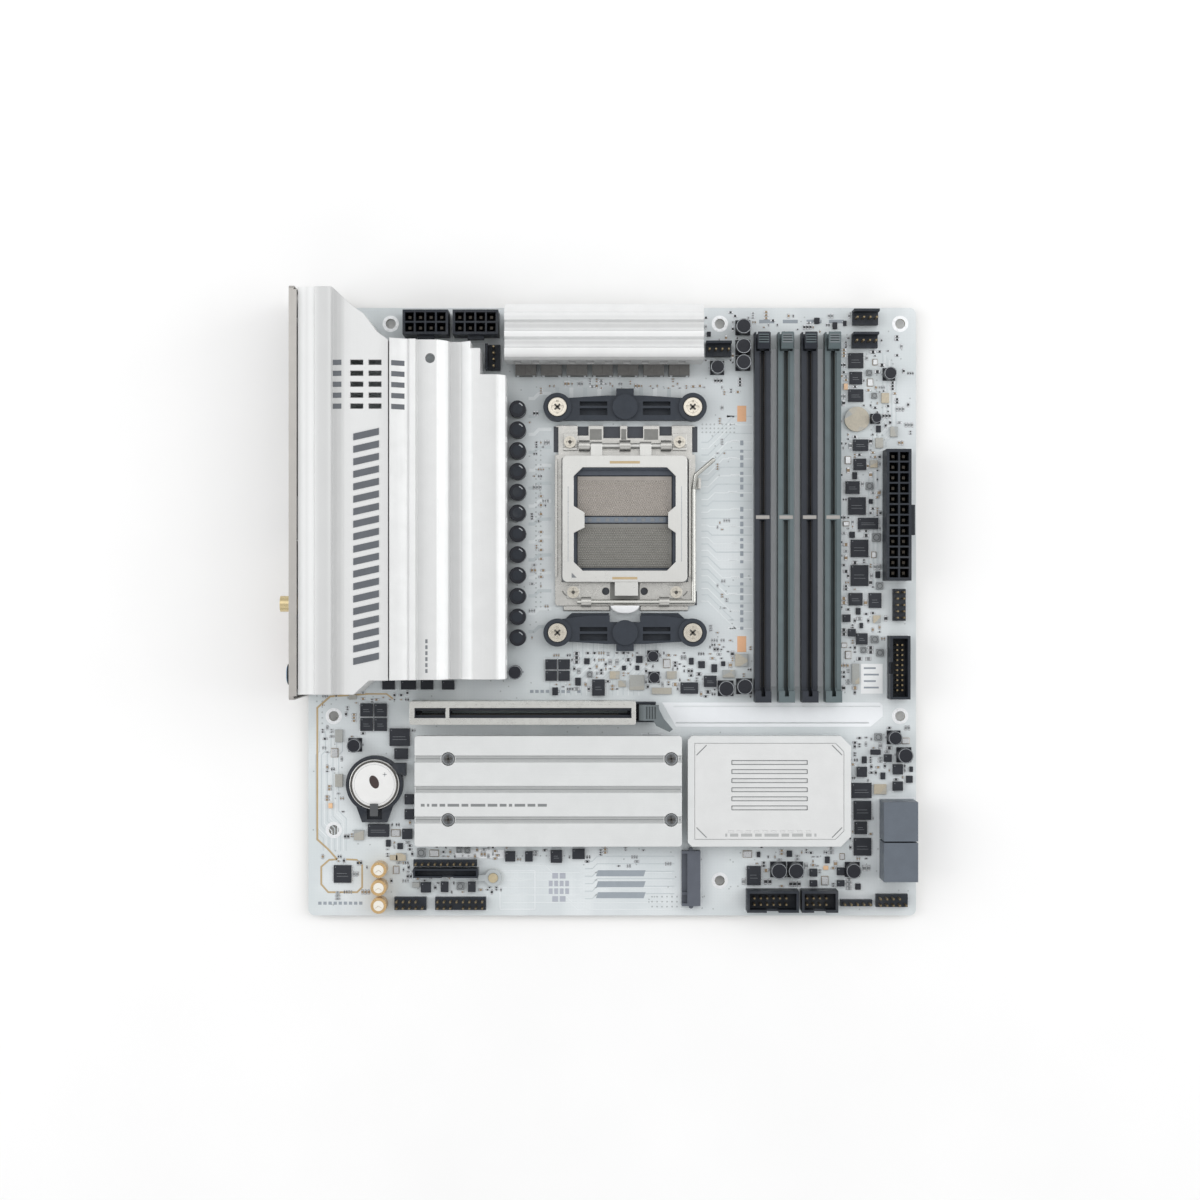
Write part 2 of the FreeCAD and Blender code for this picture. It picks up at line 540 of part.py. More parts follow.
def rod(p, q, r):
    """A round bar from p to q."""
    o = doc.addObject("Part::Cylinder", "Bar")
    a, c = V(*[num(k) for k in p]), V(*[num(k) for k in q])
    o.Height = (c - a).Length
    o.Radius = num(r)
    bind(o, "Radius", r)
    o.Placement = FreeCAD.Placement(a, FreeCAD.Rotation(V(0, 0, 1), c - a))
    return o


def ball(p, r):
    o = doc.addObject("Part::Sphere", "Ball")
    o.Radius = num(r)
    bind(o, "Radius", r)
    o.Placement = FreeCAD.Placement(V(*[num(k) for k in p]), FreeCAD.Rotation())
    return o


def wire(points, r):
    """A bent round bar through the points, with a rounded bend at each."""
    out = [rod(p, q, r) for p, q in zip(points, points[1:])]
    return fuse(*(out + [ball(p, r) for p in points[1:]]))


YL, ZL = cells["lever_y"], cells["lever_z"]
node(wire([(-14.0, YL, ZL), (32.6, YL, ZL), (32.6, 49.0, ZL), (33.4, 54.6, ZL + 1.6), (40.2, 60.4, ZL + 3.4)], lr),
     "load_lever")
node(group(*[minus(fuse(cyl(x, y, T + 2.6, 2.4, 1.4), cyl(x, y, -0.6, 1.2, 5.0)),
                   box(x - 1.7, y - 0.35, T + 3.3, 3.4, 0.7, 1.0), box(x - 0.35, y - 1.7, T + 3.3, 0.7, 3.4, 1.0))
             for x, y in FS]), "frame_screws")

# cooler brackets
bh = d("bracket_high")


def bracket(y, up, label):
    ends = []
    for x in (sx - cx, sx + cx):
        ends.append(cyl(x, y, T, 5.6, bh))
    k = 1 if up else -1
    b = body("Bar" + label)
    yy = num(y)
    if up:
        pts = [(-21.8, yy - 5.2), (32.0, yy - 5.2), (32.0, yy + 3.4), (12.0, yy + 4.6), (8.6, yy + 4.6),
               (8.6, yy + 7.4), (1.6, yy + 7.4), (1.6, yy + 4.6), (-2.0, yy + 4.6), (-21.8, yy + 3.4)]
    else:
        pts = [(-21.8, yy + 5.2), (-9.0, yy + 6.8), (-1.0, yy + 6.8), (-1.0, yy + 4.2), (11.2, yy + 4.2),
               (11.2, yy + 6.8), (19.2, yy + 6.8), (32.0, yy + 5.2), (32.0, yy - 3.4), (12.0, yy - 4.6),
               (8.6, yy - 4.6), (8.6, yy - 7.4), (1.6, yy - 7.4), (1.6, yy - 4.6), (-2.0, yy - 4.6), (-21.8, yy - 3.4)]
    pad(b, "XY", T, bh - 0.8, (poly, pts))
    cut(b, "XY", T + 2.2, 8.0, (rect, -13.0, yy - 3.2, 11.0, 5.4), (rect, 12.2, yy - 3.2, 11.0, 5.4))
    rib = box(-16.0, yy - 0.5, T, 42.2, 1.0, bh - 0.8)
    knob = cyl(sx, y, T, 5.0, bh + 0.6)
    holes = [cyl(x, y, T - 1.0, 2.7, 20.0) for x in (sx - cx, sx + cx)]
    holes += [cyl(x, y, T + bh - 1.6, 4.0, 20.0) for x in (sx - cx, sx + cx)]
    return minus(fuse(b, rib, knob, *ends), *holes)


node(group(bracket(sy + cy, True, "Upper"), bracket(sy - cy, False, "Lower")), "cooler_brackets")
node(group(*[minus(fuse(cyl(x, y, T + bh - 1.6, 3.7, 1.9), cyl(x, y, T + 0.2, 1.9, 5.0)),
                   box(x - 2.6, y - 0.45, T + bh - 0.5, 5.2, 0.9, 2.0), box(x - 0.45, y - 2.6, T + bh - 0.5, 0.9, 5.2, 2.0))
             for x, y in COOLER]), "bracket_screws")

# backplate with its four posts through the board
bt = d("backplate_thick")
b = body("PlateBack")
pad(b, "XY", -bt, bt, (rounded, sx - 33.5, sy - 51.5, 67.0, 103.0, 6.0))
cut(b, "XY", -4.0, 5.0, (rounded, sx - 14.0, sy - 15.0, 28.0, 30.0, 3.0))
cut(b, "XY", -4.0, 5.0, (rounded, sx - 22.0, sy + 31.0, 44.0, 7.6, 2.0), (rounded, sx - 22.0, sy - 38.6, 44.0, 7.6, 2.0))
posts = [cyl(x, y, -bt, 2.5, bt + 1.7) for x, y in COOLER]
node(minus(fuse(b, *posts), *[cyl(x, y, -5.0, 1.2, 20.0) for x, y in COOLER],
           *[cyl(x, y, -1.0, 1.6, 3.0) for x, y in FS]), "backplate")

# ================================================================ memory slots and their end latches
dw, dh, dy0, dlen = d("dimm_wide"), d("dimm_high"), d("dimm_low_y"), d("dimm_len")
dpy, dpz, dlw = d("dimm_pivot_y"), d("dimm_pivot_z"), d("dimm_latch_wide")
for k in range(4):
    c = d("dimm_x") + d("dimm_pitch") * k
    b = body(f"Slot{k + 1}")
    pad(b, "XY", T, dh, (rect, c - dw * 0.5, dy0, dw, dlen + 7.6))
    pad(b, "XY", T, 10.4, (rect, c - dw * 0.5, dy0, dw, 4.6))
    g, gd = d("dimm_groove"), d("dimm_groove_deep")
    top = T + dh
    cut(b, "XY", top - gd, 12.0, (rect, c - g * 0.5, -33.6, g, 70.2), (rect, c - g * 0.5, 38.8, g, 65.4))
    # shallow lead-in either side of the groove, and the contact windows along it
    cut(b, "XY", top - 0.9, 12.0, (rect, c - 1.4, -30.6, 2.8, 67.2), (rect, c - 1.4, 38.8, 2.8, 64.4))
    # bay for the latch between two cheeks, with holes for its pivot
    cut(b, "XY", T + 0.4, 14.0, (rect, c - 2.55, 103.9, 5.1, 9.0))
    cut(b, "YZ", c - 4.0, 8.0, (circle, dpy, dpz, 0.97))
    node(b, f"dimm_slot_{k + 1}")
    b = body(f"Latch{k + 1}")
    PY, PZ = cells["dimm_pivot_y"], cells["dimm_pivot_z"]
    prof = [(-2.9, -1.0), (0.8, -1.3), (1.9, -0.4), (2.0, 7.2), (3.6, 9.6), (3.6, 10.6), (-0.6, 10.6), (-2.9, 8.6),
            (-2.9, 6.9), (-1.5, 6.4), (-1.5, 1.4), (-2.9, 0.9)]
    pad(b, "YZ", c - dlw * 0.5, dlw, (poly, [(dpy + a, dpz + e) for a, e in prof]))
    cut(b, "YZ", c - 0.8, 1.6, (rect, PY - 3.4, PZ + 1.2, 3.0, 5.0))
    cut(b, "XY", PZ + 9.9, 3.0, *[(rect, c - 1.7, PY - 0.1 + 1.0 * j, 3.4, 0.45) for j in range(3)])
    node(fuse(b, cyl(c - 3.0, dpy, dpz, 0.9, 6.0, "X")), f"dimm_latch_{k + 1}")

# ================================================================ expansion slot
px, plen, py, pw, ph = d("pcie_x"), d("pcie_len"), d("pcie_y"), d("pcie_wide"), d("pcie_high")
ppx, ppz = d("pcie_pivot_x"), d("pcie_pivot_z")
b = body("Slot16")
pad(b, "XY", T, ph, (rect, px, py - pw * 0.5, plen, pw))
pad(b, "XY", T, 5.4, (rect, px, py - 4.0, plen + 8.8, 8.0))
pg = d("pcie_groove")
cut(b, "XY", T + ph - 8.4, 12.0, (rect, -78.0, py - pg * 0.5, 11.6, pg), (rect, -64.4, py - pg * 0.5, 71.6, pg))
cut(b, "XY", T + ph - 1.0, 12.0, (rect, -78.0, py - 1.7, 11.6, 3.4), (rect, -64.4, py - 1.7, 71.6, 3.4))
cut(b, "XY", T + 0.4, 14.0, (rect, px + plen + 0.9, py - 3.3, 9.0, 6.6))
cut(b, "XZ", py - 6.0, 12.0, (circle, ppx, ppz, 1.07))
node(b, "pcie_slot")
b = body("SlotShield")
pad(b, "XY", T + 0.2, ph + 0.5, (rounded, px - 0.7, py - 4.65, 89.6, 9.3, 0.8))
cut(b, "XY", 0.5, T + ph - 0.4, (rect, px - 0.1, py - 4.15, plen + 0.2, 8.3))
cut(b, "XY", 8.0, 8.0, (rect, -78.4, py - 2.0, 12.4, 4.0), (rect, -64.6, py - 2.0, 72.2, 4.0))
cut(b, "XY", 0.5, 6.8, (rect, 8.3, py - 4.2, 2.0, 8.4))
# window row in the long sides
cut(b, "XZ", py - 6.0, 12.0, *[(rect, -75.0 + 10.0 * k, 5.4, 5.0, 3.0) for k in range(8)])
node(b, "pcie_shield")
b = body("SlotLatch")
PX, PZ = cells["pcie_pivot_x"], cells["pcie_pivot_z"]
prof = [(-2.6, -1.0), (0.9, -1.4), (1.8, -0.6), (2.0, 5.4), (5.2, 6.6), (5.2, 8.0), (-0.4, 8.0), (-2.6, 6.6),
        (-2.6, 4.6), (-1.4, 4.4), (-1.4, 0.8), (-2.6, 0.6)]
pad(b, "XZ", py - 3.1, 6.2, (poly, [(ppx + a, ppz + e) for a, e in prof]))
pad(b, "XY", PZ + 6.6, 1.4, (poly, [(16.0, -42.6), (18.4, -38.2), (20.4, -42.4), (24.0, -46.6), (22.6, -47.6), (17.4, -45.2)]))
cut(b, "XY", PZ + 7.3, 3.0, *[(rect, 13.4 + 1.1 * j, -42.4, 0.5, 4.8) for j in range(4)])
node(fuse(b, cyl(ppx, py - 3.9, ppz, 1.0, 7.8, "Y")), "pcie_latch")

# ================================================================ storage sockets, heatsinks and latch
mx, my, ml, mw, mz, mh = (d(a) for a in ("m_sink_x", "m_sink_y", "m_sink_len", "m_sink_wide", "m_sink_z", "m_sink_high"))
b = body("SinkStorage")
pad(b, "XY", mz, mh, (rounded, mx, my, ml, mw, 1.2))
GY = [-82.6, -70.5, -58.4]
for y in GY:
    cut(b, "YZ", mx - 1.0, 110.0, (poly, [(y - 1.6, num(mz) + num(mh) + 0.5), (y - 1.0, num(mz) + num(mh) - 1.3),
                                         (y + 1.0, num(mz) + num(mh) - 1.3), (y + 1.6, num(mz) + num(mh) + 0.5)]))
MS = [(-65.2, -58.4), (23.4, -58.4), (-65.2, -82.6), (23.4, -82.6)]
cut(b, "XY", mz - 1.0, 12.0, *[(circle, x, y, 1.7) for x, y in MS])
cut(b, "XY", mz + mh - 2.2, 12.0, *[(circle, x, y, 2.7) for x, y in MS])
cut(b, "XY", 5.0, 1.6, (rect, -62.0, -92.0, 73.0, 20.0), (rect, -62.0, -70.0, 73.0, 20.0))
node(b, "m2_heatsink")
zm = mz + mh - 2.2
node(group(*[minus(fuse(cyl(x, y, zm, 2.35, 1.4), cyl(x, y, 3.4, 1.4, num(zm) - 3.0)),
                   box(x - 1.5, y - 0.35, zm + 0.8, 3.0, 0.7, 1.0), box(x - 0.35, y - 1.5, zm + 0.8, 0.7, 3.0, 1.0))
             for x, y in MS]), "m2_heatsink_screws")
node(group(*[minus(fuse(cyl(x, y, T, 2.6, 4.3), cyl(x, y, T, 3.3, 0.8)), cyl(x, y, T + 0.6, 1.46, 9.0)) for x, y in MS]
           + [fuse(cyl(-47.7, -106.6, T, 3.0, 0.8), cyl(-47.7, -106.6, T, 1.9, 2.6))]), "m2_standoffs")
thermal += [box(-60.0, -91.4, 5.7, 69.0, 18.6, 0.85), box(-60.0, -69.4, 5.7, 69.0, 18.6, 0.85)]
node(group(*thermal), "thermal_pads")


def m2_socket(x0, yc, n):
    b = body(f"Storage{n}")
    s = d("m_socket_long")
    pad(b, "XY", T, 4.2, (rect, x0, s * -0.5 + yc, 7.4, s))
    cut(b, "XY", T + 1.3, 1.2, (rect, x0 - 1.0, yc - 9.9, 6.0, 3.0), (rect, x0 - 1.0, yc - 5.6, 6.0, 15.5))
    cut(b, "XY", T + 2.4, 3.0, (rect, x0 - 1.0, yc - 9.9, 3.2, 19.8))
    return b


sk = m2_socket(27.8, -106.6, 3)
sk = fuse(sk, cyl(31.5, -95.4, T, 0.9, 3.4), cyl(31.5, -117.8, T, 0.9, 3.4))
node(group(m2_socket(12.2, -60.4, 1), m2_socket(12.2, -82.2, 2), sk), "m2_sockets")
# rotating latch: an open C collar and thumb tab that turns about its post
b = body("LatchStorage")
pad(b, "XY", T + 1.0, 1.2, (circle, -47.7, -106.6, 3.4))
pad(b, "XY", T + 1.0, 1.2, (rect, -53.6, -107.9, 3.4, 2.6))
cut(b, "XY", T - 1.0, 8.0, (circle, -47.7, -106.6, 1.97))
node(b, "m2_latch")

ux, ul = d("chip_sink_x"), d("chip_sink_len")
b = body("SinkChip")
pad(b, "XY", 4.4, 7.0, (poly, [(ux + 1.6, -93.2), (ux + ul - 4.0, -93.2), (ux + ul, -89.2), (ux + ul, -53.3),
                              (ux + ul - 4.0, -49.3), (ux + 1.6, -49.3), (ux, -50.9), (ux, -91.6)]))
cut(b, "XY", 10.9, 2.0, (poly, [(32.6, -90.4), (88.6, -90.4), (92.0, -87.0), (92.0, -55.5), (88.6, -52.1), (32.6, -52.1)]))
cut(b, "XY", 4.0, 3.6, (rect, 34.0, -90.0, 12.0, 37.4), (rect, 76.0, -90.0, 14.0, 37.4))
pad(b, "XY", T, 6.6, *[(circle, x, y, 2.4) for x, y in SINKS[4:]])
cut(b, "XY", 3.4, 1.8, (rect, 53.4, -78.2, 16.0, 16.0))
pad(b, "XY", T + 1.85, 2.6, (rect, 54.6, -77.0, 13.6, 13.6))
node(b, "chipset_heatsink")
b = body("ChipPlate")
pad(b, "XY", 10.9, 0.4, (poly, [(32.8, -90.2), (88.5, -90.2), (91.8, -86.9), (91.8, -55.6), (88.5, -52.3), (32.8, -52.3)]))
# plain panel of six straight grooves, one above the other
cut(b, "XY", 11.12, 1.0, *[(rect, 47.4, -78.6 + 3.6 * k, 30.0, 1.6) for k in range(6)])
cut(b, "XY", 11.12, 1.0, *[(rect, 46.0 + 3.4 * k, -87.6, 2.2, 0.8) for k in range(10)])
node(b, "chipset_plate")
node(fuse(box(50.4, -81.2, T, 22.0, 22.0, 0.9), box(54.4, -77.2, T + 0.9, 14.0, 14.0, 0.9)), "chipset_package")

# ================================================================ power connectors
PP, PC, PHH, PIN = cells["power_pitch"], cells["power_cell"], d("power_high"), d("power_pin")
pins = []


def power(label, x0, y0, w, l, nx, ny, clip):
    """A Mini-Fit style header: a block of square cells with a latch ramp on one side."""
    b = body(label.title().replace("_", ""))
    pad(b, "XY", T, PHH, (rect, x0, y0, w, l))
    ox, oy = x0 + w / 2 - PP * (nx - 1) / 2, y0 + l / 2 - PP * (ny - 1) / 2
    at = [(ox + PP * i, oy + PP * j) for i in range(nx) for j in range(ny)]
    cut(b, "XY", T + 2.0, 20.0, *[(rect, x - PC / 2, y - PC / 2, PC, PC) for x, y in at])
    pad(b, "XY", T + 6.0, 4.0, (rect, *clip))
    for x, y in at:
        pins.append(box(x - 0.55, y - 0.55, T + 2.0, PIN, PIN, 8.0))
    return b


node(power("atx_power", 108.5, 12.4, 9.8, 52.1, 2, 12, (118.3, 30.5, 1.8, 12.0)), "atx_power")
node(group(power("eps_left", -83.0, 109.8, 18.0, 9.8, 4, 2, (-77.2, 108.2, 6.4, 1.6)),
           power("eps_right", -63.2, 109.8, 18.0, 9.8, 4, 2, (-57.4, 108.2, 6.4, 1.6))), "eps_power")

# drive connectors: two stacked pairs that face the front edge
b = body("Drives")
s_y = [(-90.7, 0), (-106.8, 1)]
for y0, n in s_y:
    pad(b, "XY", T, d("sata_high"), (rect, 107.3, y0, d("sata_deep"), d("sata_long")))
cav = []
for y0, n in s_y:
    for z0 in (3.3, 9.7):
        cav.append((poly, [(y0 + 1.2, z0), (y0 + 14.3, z0), (y0 + 14.3, z0 + 4.2), (y0 + 1.2, z0 + 4.2)]))
cut(b, "YZ", 111.0, 20.0, *cav)
for y0, n in s_y:
    for z0 in (3.3, 9.7):
        pad(b, "YZ", 110.9, 8.4, (poly, [(y0 + 2.6, z0 + 1.5), (y0 + 12.9, z0 + 1.5), (y0 + 12.9, z0 - 0.1),
                                        (y0 + 11.5, z0 - 0.1), (y0 + 11.5, z0 + 0.3), (y0 + 2.6, z0 + 0.3)][::-1]))
joiner = box(108.3, -91.5, T, 10.0, 1.0, 9.0)
node(fuse(b, joiner), "sata_ports")

# ================================================================ small headers
fans, bases, shrouds = [], [], []
ps = d("pin_side")


def pin_at(x, y, top=8.0, base=2.5):
    pins.append(box(x - 0.32, y - 0.32, T + base, ps, ps, top - base))


def fan(x0, y0, n, along):
    w, l = (n * 2.54, 5.8) if along == "X" else (5.8, n * 2.54)
    base = box(x0, y0, T, w, l, 3.2)
    wall = box(x0, y0 + 4.8, T, w, 1.0, 8.2) if along == "X" else box(x0, y0, T, 1.0, l, 8.2)
    fans.append(fuse(base, wall))
    for k in range(n):
        x, y = (x0 + 1.27 + 2.54 * k, y0 + 2.4) if along == "X" else (x0 + 3.4, y0 + 1.27 + 2.54 * k)
        pin_at(x, y, 9.4, 3.2)


fan(-50.6, 96.6, 4, "Y")
fan(37.4, 102.1, 4, "X")
fan(96.2, 114.8, 4, "X")
fan(96.0, 105.6, 4, "X")
node(group(*fans), "fan_headers")


def header(x0, y0, nx, ny, skip=()):
    w, l = nx * 2.54, ny * 2.54
    bases.append(box(x0, y0, T, w, l, 2.5))
    for i in range(nx):
        for j in range(ny):
            if (i, j) not in skip:
                pin_at(x0 + 1.27 + 2.54 * i, y0 + 1.27 + 2.54 * j)


header(112.4, -3.6, 2, 5)
header(-87.2, -119.4, 5, 2, {(4, 1)})
header(-70.9, -119.4, 8, 2, {(3, 0)})
header(91.4, -117.9, 5, 1)
header(105.6, -118.2, 5, 2, {(4, 1)})
header(-79.6, -101.9, 10, 1)


def shroud(label, x0, y0, w, l, hh, wall, rows, key):
    b = body(label)
    pad(b, "XY", T, hh, (rect, x0, y0, w, l))
    cut(b, "XY", T + 2.0, 20.0, (rect, x0 + wall, y0 + wall, w - 2 * wall, l - 2 * wall))
    cut(b, "XY", T + 4.0, 20.0, (rect, *key))
    for x, y in rows:
        pins.append(box(x - 0.32, y - 0.32, T + 2.0, ps, ps, 5.6))
    return b


usb = shroud("FrontUsb", 110.4, -34.8, 8.0, 25.2, 9.4, 1.0, [(113.4 + 2.0 * i, -31.2 + 2.0 * j) for i in range(2) for j in range(10)],
             (109.4, -24.6, 2.6, 4.6))
low_a = shroud("LowerA", 53.6, -119.6, 20.6, 8.6, 8.8, 1.0, [(56.6 + 2.54 * i, -116.6 + 2.54 * j) for i in range(6) for j in range(2)],
               (61.4, -120.6, 4.8, 2.6))
low_b = shroud("LowerB", 75.4, -119.6, 14.4, 8.6, 8.8, 1.0, [(77.6 + 2.54 * i, -116.6 + 2.54 * j) for i in range(4) for j in range(2)],
               (80.2, -120.6, 4.8, 2.6))
low_c = shroud("LowerC", -79.4, -106.1, 25.8, 3.6, 6.2, 0.7, [], (-68.0, -106.8, 4.6, 2.0))
node(group(usb, low_a, low_b, low_c, *bases), "board_headers")
node(group(*pins), "header_pins")

# ================================================================ cell and holder
bx, by, br, bt2 = d("battery_x"), d("battery_y"), d("battery_rad"), d("battery_thick")
b = body("Holder")
pad(b, "XY", T, 3.9, (circle, bx, by, br + 1.4))
pad(b, "XY", T, 3.2, (poly, [(bx - 5.0, by - 15.2), (bx + 5.0, by - 15.2), (bx + 7.6, by - 8.0), (bx - 7.6, by - 8.0)]))
pad(b, "XY", T, 5.0, (poly, [(bx + 7.4, by + 5.0), (bx + 12.6, by + 3.4), (bx + 12.6, by + 8.4), (bx + 7.4, by + 8.4)]))
cut(b, "XY", T + 1.0, 9.0, (circle, bx, by, br + 0.25))
cut(b, "XY", T + 1.6, 9.0, (rect, bx - 3.0, by - 14.0, 6.0, 5.0))
node(b, "battery_holder")
b = body("Cell")
pad(b, "XY", T + 1.0, bt2, (circle, bx, by, br))
dress(b, "Chamfer", 0.35, lambda e: level(e, num(T + 1.0 + bt2)))
pad(b, "XY", T + 1.0 + bt2, 0.12, (circle, bx, by, br - 1.6))
node(b, "battery")
node(group(fuse(box(bx - 1.6, by - 12.6, T + 1.7, 3.2, 1.0, 3.4), box(bx - 1.6, by - 12.6, T + 4.9, 3.2, 5.0, 0.3))), "battery_clip")

# ================================================================ rear connectors
def block(name, x0, x1, y, z0, z1, w, holes, depth=9.0):
    """A rear connector shell: a box behind the shield with apertures sunk from its rear face."""
    b = body(name)
    pad(b, "YZ", x0, x1 - x0, (rect, y - w / 2, z0, w, z1 - z0))
    cut(b, "YZ", x0 - 1.0, depth + 1.0, *[(rect, y - hw / 2, hz - hh / 2, hw, hh) for hw, hz, hh in holes])
    return b


x_face = -124.5
video = [fuse(block("PortHd", x_face, -109.0, 113.0, 2.4, 8.8, 15.0, [(14.0, 5.6, 4.6)]), box(-122.0, 107.8, 5.3, 9.0, 10.4, 0.8),
              box(-118.0, 106.4, T, 9.0, 13.2, 1.2)),
         fuse(block("PortDp", x_face, -109.0, 113.0, 12.0, 19.2, 16.2, [(15.0, 15.6, 5.4)]), box(-122.0, 107.4, 15.2, 9.0, 11.2, 0.8),
              box(-118.0, 106.4, 8.9, 9.0, 13.2, 3.4))]
usbs, tongues = [], []
for n, y in ((1, 95.5), (2, 76.5)):
    usbs.append(block(f"PortA{n}", x_face, -107.0, y, T, 17.0, 14.4, [(12.6, 5.4, 5.2), (12.6, 13.0, 5.2)], 12.0))
    tongues += [box(-123.4, y - 5.4, 6.1, 10.9, 10.8, 1.8), box(-123.4, y - 5.4, 13.7, 10.9, 10.8, 1.8)]
usbs.append(fuse(block("PortC", x_face, -113.0, 57.5, 4.0, 8.0, 9.8, [(8.6, 6.0, 2.8)], 7.0),
                 block("PortA3", x_face, -107.0, 57.5, 11.0, 18.8, 14.4, [(12.6, 15.0, 5.2)], 12.0),
                 box(-121.5, 51.5, T, 8.0, 12.0, 2.4), box(-121.5, 51.5, 8.0, 8.0, 12.0, 3.0)))
tongues += [box(-123.4, 52.1, 15.7, 10.9, 10.8, 1.8), box(-123.6, 54.2, 5.7, 6.1, 6.6, 0.6)]
lan = block("PortLan", x_face, -103.0, 36.5, T, 31.6, 16.6, [(12.6, 5.4, 5.2), (12.6, 12.8, 5.2), (11.8, 22.6, 8.6)], 14.0)
cut(lan, "YZ", x_face - 1.0, 11.0, (rect, 34.3, 26.5, 4.4, 2.6))
node(group(*(video + usbs)), "display_and_usb_ports")
node(lan, "ethernet_port")
tongues += [box(-123.4, 31.1, 6.1, 12.9, 10.8, 1.8), box(-123.4, 31.1, 13.5, 12.9, 10.8, 1.8)]
jacks, rings = [], []
for y, z in JACKS:
    low, top = {8.0: (T, 14.25), 20.6: (14.35, 26.85), 33.2: (26.95, 37.2)}[z]
    jacks.append(minus(fuse(box(-123.4, y - 5.4, low, 14.0, 10.8, top - low), cyl(-125.4, y, z, 4.0, 6.0, "X")),
                       cyl(-126.0, y, z, 1.8, 12.0, "X"), cyl(-126.0, y, z, 3.32, 1.6, "X")))
    rings.append(minus(cyl(-125.7, y, z, 3.3, 1.3, "X"), cyl(-126.0, y, z, 1.8, 4.0, "X")))
node(group(*jacks), "audio_jacks")
node(group(*(tongues + rings)), "port_inserts")
node(group(*[fuse(minus(fuse(cyl(-129.4, y, z, 3.1, 8.4, "X"), cyl(-123.3, y, z, 4.4, 1.6, "X")), cyl(-129.6, y, z, 2.3, 5.0, "X")),
                  cyl(-128.6, y, z, 0.5, 4.6, "X")) for y, z in ANTENNAS]), "antenna_ports")
node(fuse(box(-120.9, -2.4, T, 3.0, 11.2, 29.6), box(-118.0, -2.4, T, 14.0, 11.2, 3.2)), "wireless_card")
# flashback button in its housing
bty, btz = BUTTON
node(minus(box(-121.8, bty - 4.0, 20.0, 7.0, 8.0, 11.0), cyl(-123.0, bty, btz, 2.6, 7.2, "X")), "button_housing")
node(fuse(cyl(-124.9, bty, btz, d("button_rad"), 5.4, "X"), cyl(-121.0, bty, btz, 2.2, 1.6, "X")), "flashback_button")

# ================================================================ small electronics
ICS = [
    (97.7, 100.7, 6, 6, 1.2), (97.7, 93.7, 5, 5, 1.2), (97.7, 86.7, 6, 5, 1.2), (98.2, 42.4, 7, 7, 1.1),
    (99.2, 25.4, 7, 7, 1.1), (99.2, 14.5, 7, 8.4, 1.1), (96.4, 49.8, 5.5, 5, 1.6), (97.6, 5.0, 5.5, 5, 1.4),
    (105.4, 4.5, 5, 6, 1.4), (100.0, -71.7, 8, 6, 1.2), (100.4, -79.7, 7, 7.6, 1.0), (99.7, -86.7, 5, 5, 1.2),
    (100.4, -94.3, 7, 7, 1.0), (-93.7, -87.7, 8.5, 5, 1.6), (-108.2, -105.2, 7, 7, 0.9), (-89.7, -29.2, 5, 4, 1.2),
    (-81.7, -29.4, 6, 3.6, 1.2), (-74.3, -29.2, 5, 4, 1.2), (-65.8, -29.4, 5, 3.6, 1.2),
    (56.8, -105.8, 5.5, 7.6, 1.4),
]
ICS += [(-95.7 + i * 5.6, -42.3 + j * 5.8, 5.0, 5.2, 1.3) for i in (-0.5, 0.5) for j in (-0.5, 0.5)]
ICS += [(-21.9 + i * 5.2, -23.4 + j * 4.6, 4.6, 4.0, 1.1) for i in (-0.5, 0.5) for j in (-0.5, 0.5)]
DARK = [
    (94.0, -2.6, 3, 3), (96.1, -8.4, 3, 3), (100.1, -10.9, 4.5, 4.5), (102.6, 35.4, 8, 4.5), (99.6, 66.8, 6, 4.5),
    (99.3, 59.1, 5, 4.5), (114.5, -63.2, 4, 4), (100.1, -64.2, 4, 4), (114.5, -69.9, 4, 3.6), (105.6, -56.3, 4, 2),
    (110.5, -58.7, 3, 3), (-85.2, -50.3, 8, 7), (-84.6, -56.9, 5.4, 4.2), (-81.4, -75.2, 3.6, 4), (-81.4, -81.2, 3.6, 4),
    (-82.2, -89.1, 4, 4), (-74.7, -110.5, 4, 4), (-67.2, -110.3, 3, 4), (-56.3, -110.3, 3, 4),
    (-40.9, -98.1, 4, 4), (-33.4, -98.1, 3, 4), (-22.4, -98.1, 4.5, 5), (-13.5, -97.1, 5, 4),
    (-5.5, -30.4, 5, 6.5), (30.9, -30.6, 7, 4.5), (39.3, -27.9, 5, 4.5), (80.7, -104.6, 3, 3),
    (91.6, -104.1, 3, 3), (80.7, -108.9, 3, 2.4), (91.6, -108.9, 3, 2.4),
]
LIGHT = [
    (97.6, -24.9, 3, 8), (109.5, 85.7, 3, 4), (113.0, 72.2, 3, 4), (107.1, 67.7, 3, 4), (104.9, 59.3, 3, 3), (106.1, -3.0, 3, 3),
    (-101.6, -89.6, 4, 4), (-84.7, -98.4, 4, 3), (1.0, -25.4, 4, 3), (23.9, -25.4, 4, 3),
    (46.8, -24.9, 5, 3), (51.8, -19.4, 5, 5), (-87.6, -98.6, 3, 2), (-78.7, -109.5, 3, 2), (-109.6, -49.8, 3, 5),
    (-109.6, -67.7, 3, 5),
]
BEIGE = [(9.9, -28.4, 6, 6), (4.0, -28.9, 3, 2.5), (19.9, -31.8, 8, 2.6), (107.5, -71.2, 5, 4), (-104.1, -34.2, 3, 2)]
